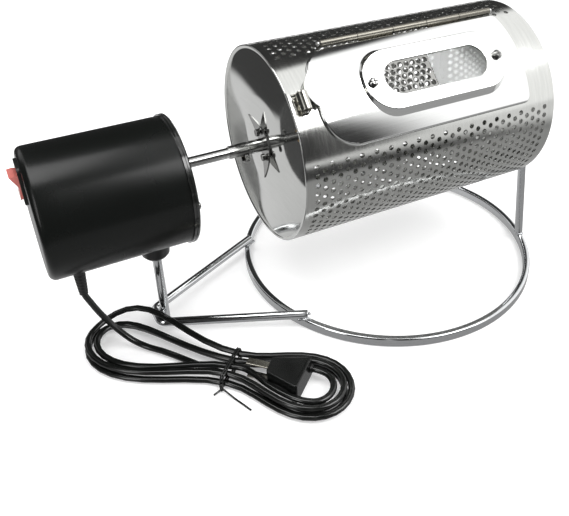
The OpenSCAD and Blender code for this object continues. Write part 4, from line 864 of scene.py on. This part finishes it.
def makeWelds():
    d, w = standSet, weldSet
    path = [Vector(p) for p in hairpinPath()]
    for side, name, end, inner in ((1, "Back", path[0], path[1]), (-1, "Front", path[-1], path[-2])):
        along = (end - inner).normalized()
        across = along.cross(Vector((0, 0, 1))).normalized()
        middle = Vector((d["crossX"], side * d["crossY"], d["crossZ"]))
        for way, edge in ((1, "A"), (-1, "B")):
            line = [middle + along * f + across * (way * w["ringSide"]) - Vector((0, 0, w["ringLow"]))
                    for f in w["ringRun"]]
            makeWeld("ringWeld" + name + edge, line, w["bead"])
        x, y, z = d["legX"], side * (d["legY"] - w["footIn"]), d["ringH"] + w["footUp"]
        foot = [(x + w["footX"] * cosD(a), y + w["footY"] * sinD(a), z) for a in range(20, 341, 20)]
        reach = d["ringW"] / 2 + w["footPast"]
        foot = [p for p in foot if abs(math.hypot(p[0] - d["ringX"], p[1]) - d["ringR"]) < reach]
        for way, edge in ((1, "A"), (-1, "B")):
            line = sorted(p for p in foot if (p[1] - side * d["legY"]) * side * way > 0)
            if len(line) > 1:
                makeWeld("legWeld" + name + edge, line, w["smallBead"])
    for side, name in ((1, "Back"), (-1, "Front")):
        makeWeld("postWeld" + name, [(x, side * y, z) for x, y, z in w["post"]], w["postBead"])
        saddle = [(d["legX"] + x, side * w["saddleY"], w["saddleZ"]) for x in w["saddleRun"]]
        makeWeld("saddleWeld" + name, saddle, w["smallBead"])


makeWelds()
print("stand made")

# ---- motor unit ----
housingSet = {"backX": -169, "frontX": -71, "radius": 46.7, "wall": 2, "back": 2.5, "round": 5}


def makeHousing():
    d = housingSet
    b, f, r, e = d["backX"], d["frontX"], d["radius"], d["round"]
    q, s = b + d["back"], r - d["wall"]                       # the cup's inner floor and wall
    outer = [(b, 0), (b, 12), (b, 26), (b, r - e)] + arc(b + e, r - e, e, 180, 90, 10)[1:-1]
    outer += straight((b + e, r), (f, r), 8)
    inner = [(f, s), (f - 40, s), (q + 3, s), (q + 1, s - 0.6), (q, s - 2.5), (q, 20), (q, 0)]
    cup = lathe(outer + inner, (0, 0, motorZ), "x", 180)
    return keepEdges(outward(makeObject("motorHousing", *cup, "housing")), 40)


def dressRows(*rows):
    for row in rows:
        dressNode(*row)


finishObject(makeHousing(), "stand", "black_housing", "housing_shell")
dressRows(
    ("front_cover", "cover", "stand", "black_housing", 0.35, 3, 30, motorZ, (47.9, 47.3, 42.3, 44.6)),
    ("cover_screws", "screw", "stand", "steel_screws", 0.2),
    ("post_collar", "collar", "stand", "black_housing", 0.5, 3),
    ("post_nut", "screw", "stand", "steel_screws", 0.3),
    ("stator_can", "zinc", "stand", "zinc_steel", 0.5, 3),
    ("stator_coil", "winding", "stand", "copper_wire", 1.2, 4),
    ("motor_rotor", "ferrite", "rotor", "dark_iron", 0.15),
    ("gear_case", "zinc", "stand", "zinc_steel", 0.3),
    ("gear_axles", "turned", "stand", "steel_screws", 0.15),
    ("first_gear", "nylon", "first_gear_body", "white_nylon", 0),
    ("second_gear", "nylon", "second_gear_body", "white_nylon", 0),
    ("output_gear", "brass", "drum", "gear_brass", 0),
    ("output_bush", "bronze", "stand", "bronze", 0.3),
    ("motor_screws", "screw", "stand", "steel_screws", 0.25, 3),
    ("switch_body", "switch", "stand", "black_plastic", 0.5, 3),
    ("switch_rocker", "rocker", "rocker", "red_plastic", 0.5, 3, 20),
    ("switch_terminals", "brass", "stand", "gear_brass", 0.15))
print("motor unit made")

# ---- drive ----
dressRows(
    ("output_shaft", "turned", "drum", "steel_shaft", 0.3),
    ("drive_sleeve", "turned", "drum", "steel_shaft", 0.2),
    ("thumb_screw", "screw", "drum", "steel_screws", 0.3, 3),
    ("wing_plate", "leafSteel", "drum", "polished_steel", 0.3, 3),
    ("wing_screws", "screw", "drum", "steel_screws", 0.4, 3),
    ("far_stub", "turned", "drum", "steel_shaft", 0.2),
    ("far_nut", "screw", "drum", "steel_screws", 0.4, 3))
print("drive made")

# ---- drum ----
shellSet = {"radius": drumR, "sheet": 0.8, "x0": 0.8, "x1": 218.2, "firstX": 9.1, "pitchX": 5.877,
            "columns": 35, "edgeColumns": 2, "firstTurn": 78.5, "pitchTurn": 5.25, "rows": 56,
            "plainTurn": 5.077, "plainRows": 13, "hole": 1.95, "hingeFrom": 40, "hingeTo": 194,
            "hingeRow": 54.1, "merge": 0.03,
            "around": (-90, 90, 40, 240), "hingeGap": (41, 193, -14, 2.9, 60, 100)}


def makePerforationTree(floats, counts):
    # a honeycomb of cells, each with a punched hole, bent round into the drum's shell
    t, get, out = newTree("perforatedShell", floats, counts)

    def op(operation, *values):
        return calc(t, operation, *values)

    def plus(a, b):
        return calc(t, "ADD", a, b)

    def minus(a, b):
        return calc(t, "SUBTRACT", a, b)

    def times(a, b):
        return calc(t, "MULTIPLY", a, b)

    def above(a, b):
        return calc(t, "GREATER_THAN", a, b)

    def below(a, b):
        return calc(t, "LESS_THAN", a, b)

    def position():
        return addNode(t, "GeometryNodeInputPosition")[0]

    def xyz(x, y, z):
        return addNode(t, "ShaderNodeCombineXYZ", {0: x, 1: y, 2: z})[0]

    def parts(vector):
        return addNode(t, "ShaderNodeSeparateXYZ", {0: vector})

    def scaled(vector, scale):
        return addNode(t, "ShaderNodeVectorMath", {0: vector, "Scale": scale}, operation="SCALE")[0]

    def moved(geometry, place, chosen=True):
        inputs = {"Geometry": geometry, "Position": place, "Selection": chosen}
        return addNode(t, "GeometryNodeSetPosition", inputs)[0]

    # where each cell lies: x along the drum and a row number round it
    allRows = plus(get["Rows"], get["Plain Rows"])
    allColumns = plus(get["Columns"], times(get["Edge Columns"], 2))
    index = plus(addNode(t, "GeometryNodeInputIndex")[0], 0.5)
    column = minus(op("FLOOR", op("DIVIDE", index, allRows)), get["Edge Columns"])
    row = plus(op("FLOOR", op("MODULO", index, allRows)), times(op("FLOORED_MODULO", column, 2), 0.5))
    x = plus(times(column, get["Column Pitch"]), get["First Column"])
    count = times(allRows, allColumns)
    points = addNode(t, "GeometryNodePoints", {"Count": count, "Position": xyz(x, row, 0.0)})[0]

    # which cells are punched
    at = parts(position())
    holeRow = below(at[1], plus(get["Rows"], 0.2))
    start = minus(get["First Column"], 0.001)
    stop = plus(get["First Column"], times(get["Column Pitch"], minus(get["Columns"], 0.5)))
    holeColumn = times(above(at[0], start), below(at[0], stop))
    underHinge = times(above(at[0], get["Hinge From"]), below(at[0], get["Hinge To"]))
    atHinge = times(above(at[1], get["Hinge Row"]), underHinge)
    chosen = times(times(holeRow, holeColumn), minus(1.0, atHinge))
    punched = above(chosen, 0.5)
    plain = minus(1.0, punched)

    # one cell: a hexagon with a point in the middle of each side, and the same with its hole
    wide = times(get["Column Pitch"], 2 / 3)
    circle = addNode(t, "GeometryNodeMeshCircle", {"Vertices": 12, "Radius": wide}, fill_type="NGON")[0]
    corner = addNode(t, "GeometryNodeInputIndex")[0]
    shrink = minus(1.0, times(op("MODULO", corner, 2), 1 - cosD(30)))
    hexagon = moved(circle, scaled(position(), shrink))
    push = addNode(t, "GeometryNodeExtrudeMesh", {"Mesh": hexagon, "Offset Scale": 0.0}, mode="FACES")
    outwards = addNode(t, "ShaderNodeVectorMath", {0: position()}, operation="NORMALIZE")[0]
    rim = moved(push["Mesh"], scaled(outwards, get["Hole Radius"]), push["Top"])
    holed = {"Geometry": rim, "Selection": push["Top"]}
    holed = addNode(t, "GeometryNodeDeleteGeometry", holed, domain="FACE")[0]

    # cells on their places; rows are counted, so y is squeezed to one row a cell
    join = t.nodes.new("GeometryNodeJoinGeometry")
    for shape, chosen in ((holed, punched), (hexagon, plain)):
        p = parts(position())
        cell = moved(shape, xyz(p[0], op("DIVIDE", p[1], times(wide, 2 * cosD(30))), 0.0))
        put = {"Points": points, "Instance": cell, "Selection": chosen}
        feed(t, addNode(t, "GeometryNodeInstanceOnPoints", put)[0], join.inputs[0])
    sheet = addNode(t, "GeometryNodeRealizeInstances", {0: join.outputs[0]})[0]

    # rolled round the axle
    p = parts(position())
    lap = op("FLOORED_MODULO", p[1], allRows)
    holedTurn = times(op("MINIMUM", lap, get["Rows"]), get["Row Turn"])
    plainTurn = times(op("MAXIMUM", minus(lap, get["Rows"]), 0.0), get["Plain Turn"])
    angle = op("RADIANS", plus(get["First Turn"], plus(holedTurn, plainTurn)))
    across = times(times(op("SINE", angle), get["Drum Radius"]), -1.0)
    up = plus(times(op("COSINE", angle), get["Drum Radius"]), get["Axle Height"])
    rolled = {"Geometry": moved(sheet, xyz(p[0], across, up)), "Distance": shellSet["merge"] / 1000}
    rolled = addNode(t, "GeometryNodeMergeByDistance", rolled)[0]
    rolled = addNode(t, "GeometryNodeFlipFaces", {0: rolled})[0]
    feed(t, addNode(t, "GeometryNodeSetMaterial", {"Geometry": rolled, "Material": get["Material"]})[0], out)
    return t


doorSet = {"x0": 19, "x1": 193, "half": 37.5, "turn": 43.4, "radius": 77.5, "low": 75.3, "big": 27,
           "small": 4, "edge": 1.1, "sheet": 0.8, "lap": 7, "hingeTurn": 10.8615,
           "knuckleGap": (42, 192, -6.2, 6.6, 70, 76.72)}


def doorOutline(grow):
    # big corners at the motor's end, small ones at the other
    d = doorSet
    x0, x1, half, big = d["x0"] - grow, d["x1"] + grow, d["half"] + grow, d["big"] + grow
    small = max(d["small"] + grow, 1)
    outline = arc(x0 + big, half - big, big, 90, 180, 24) + arc(x0 + big, big - half, big, 180, 270, 24)
    outline += arc(x1 - small, small - half, small, 270, 360, 6)
    return outline + arc(x1 - small, half - small, small, 0, 90, 6)


def atDoor(x, y, z):
    return radialPoint(doorSet["turn"], x, y, z)


def atHinge(x, y, z):
    return radialPoint(doorSet["hingeTurn"], x, y, z)


def level(x, y, z):
    return (x, y, z)


def block(place, x0, x1, y0, y1, z0, z1):
    return prism([(x0, y0), (x1, y0), (x1, y1), (x0, y1)], z0, z1, place)


def thicken(o, sheet, even=False):
    wall = o.modifiers.new("sheet", "SOLIDIFY")
    wall.thickness, wall.offset, wall.use_even_offset = sheet / 1000, -1, even
    return bake(o)


def cut(o, *tools):
    cutter = outward(joined("cutter", list(tools), "screw"))
    b = o.modifiers.new("cut", "BOOLEAN")
    b.operation, b.solver, b.object = "DIFFERENCE", "MANIFOLD", cutter
    bake(o)
    if len(o.data.polygons) < 4:
        print("cut failed on", o.name)
    bpy.data.objects.remove(cutter)
    return o


def makeShell():
    d = shellSet
    me = bpy.data.meshes.new("drumShell")
    me.from_pydata([(0, 0, 0)], [], [])
    o = link(bpy.data.objects.new("drumShell", me))
    floats = {"Drum Radius": d["radius"] / 1000, "Axle Height": axleZ / 1000,
              "First Column": (d["firstX"] - homeX) / 1000, "Column Pitch": d["pitchX"] / 1000,
              "First Turn": d["firstTurn"], "Row Turn": d["pitchTurn"], "Plain Turn": d["plainTurn"],
              "Hole Radius": d["hole"] / 1000, "Hinge From": (d["hingeFrom"] - homeX) / 1000,
              "Hinge To": (d["hingeTo"] - homeX) / 1000, "Hinge Row": d["hingeRow"]}
    counts = {"Columns": d["columns"], "Edge Columns": d["edgeColumns"], "Rows": d["rows"],
              "Plain Rows": d["plainRows"]}
    useTree(o, makePerforationTree(floats, counts), {**floats, **counts, "Material": finishes["drumSteel"]})
    thicken(o, d["sheet"])
    print("shell cells:", len(o.data.polygons), "faces")
    cut(o, prism(doorOutline(-doorSet["lap"]), 20, 100, atDoor), block(level, -40, d["x0"], *d["around"]),
        block(level, d["x1"], 260, *d["around"]), block(atHinge, *d["hingeGap"]))
    paint(o.data, "drumSteel", "drumInside", "punchedEdge")
    for face in o.data.polygons:     # polished outside, matt inside, duller on the walls of the holes
        c, n = face.center, face.normal
        outwards = (n.y * c.y + n.z * (c.z - axleZ / 1000)) / (d["radius"] / 1000)
        face.material_index = 0 if outwards > 0.6 else 1 if outwards < -0.6 else 2
    o.data.shade_smooth()
    keepEdges(o, 35)
    trueShading(o, axleZ, (d["radius"], d["radius"] - d["sheet"]), 0.12, 20)
    print("drum shell:", sum(len(p.vertices) - 2 for p in o.data.polygons), "triangles")
    return o


finishObject(makeShell(), "drum", "drum_steel", "drum_shell")

discSet = {"bore": 5.02, "deep": 3, "dish": 2.1, "sheet": 0.8, "flat": (14, 22, 26),
           "slope": (30, 34, 38, 48, 60, 72),
           "rim": [(0.84, 72.6), (0.66, 73.0), (0.40, 73.25), (0.15, 73.5), (0, 74), (0, 74.5), (0.06, 74.8),
                   (0.3, 74.97), (0.8, 75), (0.8, 74.2), (1.4, 74.1), (1.65, 73.6), (1.72, 72)],
           "lean": 0.17, "leanFrom": 20, "leanFull": 40, "leanTo": 72.2}


def dishShading(o):
    # thin pressed sheet is never quite flat: it mirrors as a very shallow cone round its hub
    d, me = discSet, o.data
    normals = [tuple(n.vector) for n in me.corner_normals]
    for face in [f for f in me.polygons if abs(f.normal.x) >= 0.99]:
        for k in face.loop_indices:
            p = me.vertices[me.loops[k].vertex_index].co
            y, z = p.y * 1000, p.z * 1000 - axleZ
            r = math.hypot(y, z)
            if 1 <= r <= d["leanTo"]:
                lean = d["lean"] * min(max((r - d["leanFrom"]) / (d["leanFull"] - d["leanFrom"]), 0), 1)
                normals[k] = tuple(Vector((face.normal.x, lean * y / r, lean * z / r)).normalized())
    me.normals_split_custom_set(normals)
    return o


def makeDisc(name, x, way):
    # a pressed disc, dished towards a rolled rim that closes over the shell's edge
    d = discSet
    first, last = d["slope"][0], d["slope"][-1]
    profile = [(d["deep"], q) for q in (d["bore"], *d["flat"])]
    profile += [(d["deep"] - d["dish"] * (q - first) / (last - first), q) for q in d["slope"]] + d["rim"]
    profile += [(d["deep"] + d["sheet"], q) for q in (first, d["bore"])]
    turned = lathe([(way * a, q) for a, q in profile], (x, 0, axleZ), "x", 192)
    return dishShading(keepEdges(outward(makeObject(name, *turned, "discSteel")), 50))


finishObject(makeDisc("nearDisc", 0, 1), "drum", "drum_steel", "near_disc")
finishObject(makeDisc("farDisc", 219, -1), "drum", "drum_steel", "far_disc")
dressRows(
    ("mixing_blades", "drumSteel", "drum", "drum_steel", 0.2, 2, 35, axleZ, (74.2, 73.2)),
    ("hinge_strip", "hinge", "drum", "hinge_steel", 0.15),
    ("hinge_pin", "turned", "drum", "steel_shaft", 0.3, 3),
    ("catch_bracket", "rollerSteel", "drum", "polished_steel", 0.15),
    ("catch_pin", "turned", "drum", "steel_shaft", 0.3, 3),
    ("catch_roller", "rollerSteel", "roller", "polished_steel", 0.5, 3))
print("drum made")

# ---- door ----
windowSet = {"x": 116.3, "frameHalf": 37.5, "topR": 22.5, "slope": 0.5, "shoulder": 0.7, "faceR": 21.8,
             "underR": 21.0, "underStep": 0.4, "roundIn": 0.75, "roundLean": 0.1, "seat": 0.05, "top": 79.8,
             "viewHalf": 31.0, "viewR": 12.5, "sheet": 1.0, "lip": 0.45, "behindLip": 0.6}


def stadium(half, r, count=40):
    # two half circles on one long axis
    return arc(half, 0, r, -90, 90, count) + arc(-half, 0, r, 90, 270, count)


def spaced(a, b, count):
    # close steps at both ends, where the edge is rolled over, and even ones between
    way = 1 if b > a else -1
    close = [way * q for q in (0, 0.12, 0.3, 0.52, 0.8, 1.15)]
    even = [a + 2 * way + (b - a - 4 * way) * k / count for k in range(count + 1)]
    return [a + q for q in close] + even + [b - q for q in reversed(close)]


def makeDoor():
    d, w = doorSet, windowSet
    half, e, big, small = d["half"], d["edge"], d["big"], d["small"]

    def trimmed(corner, y):
        # how far a round corner takes the end back at this y
        q = abs(y) - (half - corner)
        return corner - math.sqrt(max(corner ** 2 - q * q, 0)) if q > 0 else 0

    def inside(x, y):
        # how far inside the outline
        y = abs(y)
        if x < d["x0"] + big and y > half - big:
            return big - math.hypot(x - d["x0"] - big, y - half + big)
        if x > d["x1"] - small and y > half - small:
            return small - math.hypot(x - d["x1"] + small, y - half + small)
        return min(x - d["x0"], d["x1"] - x, half - y)

    points, grid = [], []
    for y in spaced(half, -half, 76):
        grid.append([])
        for x in spaced(d["x0"] + trimmed(big, y), d["x1"] - trimmed(small, y), 60):
            deep = max(inside(x, y), 0)
            r = d["radius"] - (e - math.sqrt(max(e * e - (e - deep) ** 2, 0)) if deep < e else 0)
            grid[-1].append(len(points))
            points.append(atDoor(x, y, math.sqrt(r * r - y * y)))
    faces = [(up[i], down[i], down[i + 1], up[i + 1])
             for up, down in zip(grid, grid[1:]) for i in range(len(up) - 1)]
    border = grid[0] + [g[-1] for g in grid[1:]] + grid[-1][-2::-1] + [g[0] for g in grid[-2:0:-1]]
    low = []                         # the edge is turned down on to the drum
    for x, y, z in [points[b] for b in border]:
        across = y * cosD(d["turn"]) + (z - axleZ) * sinD(d["turn"])
        low.append(len(points))
        points.append(atDoor(x, across, math.sqrt(d["low"] ** 2 - across ** 2)))
    n = len(border)
    faces += [(border[i], border[(i + 1) % n], low[(i + 1) % n], low[i]) for i in range(n)]
    o = outward(makeObject("doorPanel", points, faces, "doorSteel"))
    bm = openMesh(o.data)
    if max(bm.faces, key=lambda f: f.calc_center_median().z).normal.z < 0:
        bmesh.ops.reverse_faces(bm, faces=bm.faces)
    closeMesh(bm, o.data)
    thicken(o, d["sheet"], True)
    opening = [(w["x"] + x, y) for x, y in stadium(w["viewHalf"], w["viewR"] + 1)]
    cut(o, prism(opening, 60, 100, atDoor), block(atHinge, *d["knuckleGap"]))
    paint(o.data, "doorSteel")
    o.data.shade_smooth()
    keepEdges(o, 48)
    trueShading(o, axleZ, (d["radius"], d["radius"] - d["sheet"]), 0.02, 8)
    return o


def makeFrame():
    # a sloping wall that meets the door's curve, a flat face, and an opening with a turned-in lip
    w = windowSet
    fh, vh, vr, top = w["frameHalf"], w["viewHalf"], w["viewR"], w["top"]
    lip, s, e = w["lip"], w["sheet"], w["shoulder"]

    def wallR(z):
        return w["topR"] + w["slope"] * (top - z)

    def ring(half, at):
        # at gives the reach and the height for a direction
        points = []
        for x, y in stadium(half, 1.0, 48):
            middle, (r, z) = half if x > 0 else -half, at(y)
            points.append(atDoor(w["x"] + middle + (x - middle) * r, y * r, z))
        return points

    def flat(half, r, z):
        return ring(half, lambda y: (r, z))

    def onDoor(inset):
        def meet(y):
            z = 76.0                 # a first guess, which closes in on the door's curve
            for _ in range(12):
                z = math.sqrt(doorSet["radius"] ** 2 - (y * (wallR(z) - inset)) ** 2) - w["seat"]
            return wallR(z) - inset, z
        return ring(fh, meet)

    rings = [onDoor(0.0)] + [flat(fh, wallR(z), z) for z in (top - 2 * e, top - e)]
    for a in (0.35, 0.65, 0.88, 1.0):                         # rounded shoulder
        r = wallR(top - e) - w["roundIn"] * (1 - cosD(90 * a)) - w["roundLean"] * a
        rings.append(flat(fh, r, top - e + e * sinD(90 * a)))
    for k in (0.03, 0.35, 0.7, 0.97):
        rings.append(flat(fh + (vh - fh) * k, w["faceR"] + (vr + lip - w["faceR"]) * k, top))
    for a in (30, 60, 90):
        rings.append(flat(vh, vr + lip - lip * sinD(a), top - lip * (1 - cosD(a))))
    low = top - s - w["underStep"]
    rings += [flat(vh, vr, top - s), flat(vh, vr + w["behindLip"], top - s), flat(fh, w["underR"], top - s),
              flat(fh, wallR(low) - s, low), onDoor(s)]
    points = [p for row in rings for p in row]
    faces = bands(len(rings), len(rings[0]), True)
    return keepEdges(outward(makeObject("windowFrame", points, faces, "frameSteel")), 55)


finishObject(makeDoor(), "door", "polished_steel", "door_panel")
finishObject(makeFrame(), "door", "polished_steel", "window_frame")
dressRows(
    ("door_knuckles", "hinge", "door", "hinge_steel", 0.15),
    ("door_tab", "doorSteel", "door", "polished_steel", 0.25, 3),
    ("window_glass", "glass", "door", "window_glass", 0.1),
    ("window_vent", "ventSteel", "door", "polished_steel", 0),
    ("window_screws", "screw", "door", "steel_screws", 0.2),
    ("window_nuts", "screw", "door", "steel_screws", 0.3))
print("door made")
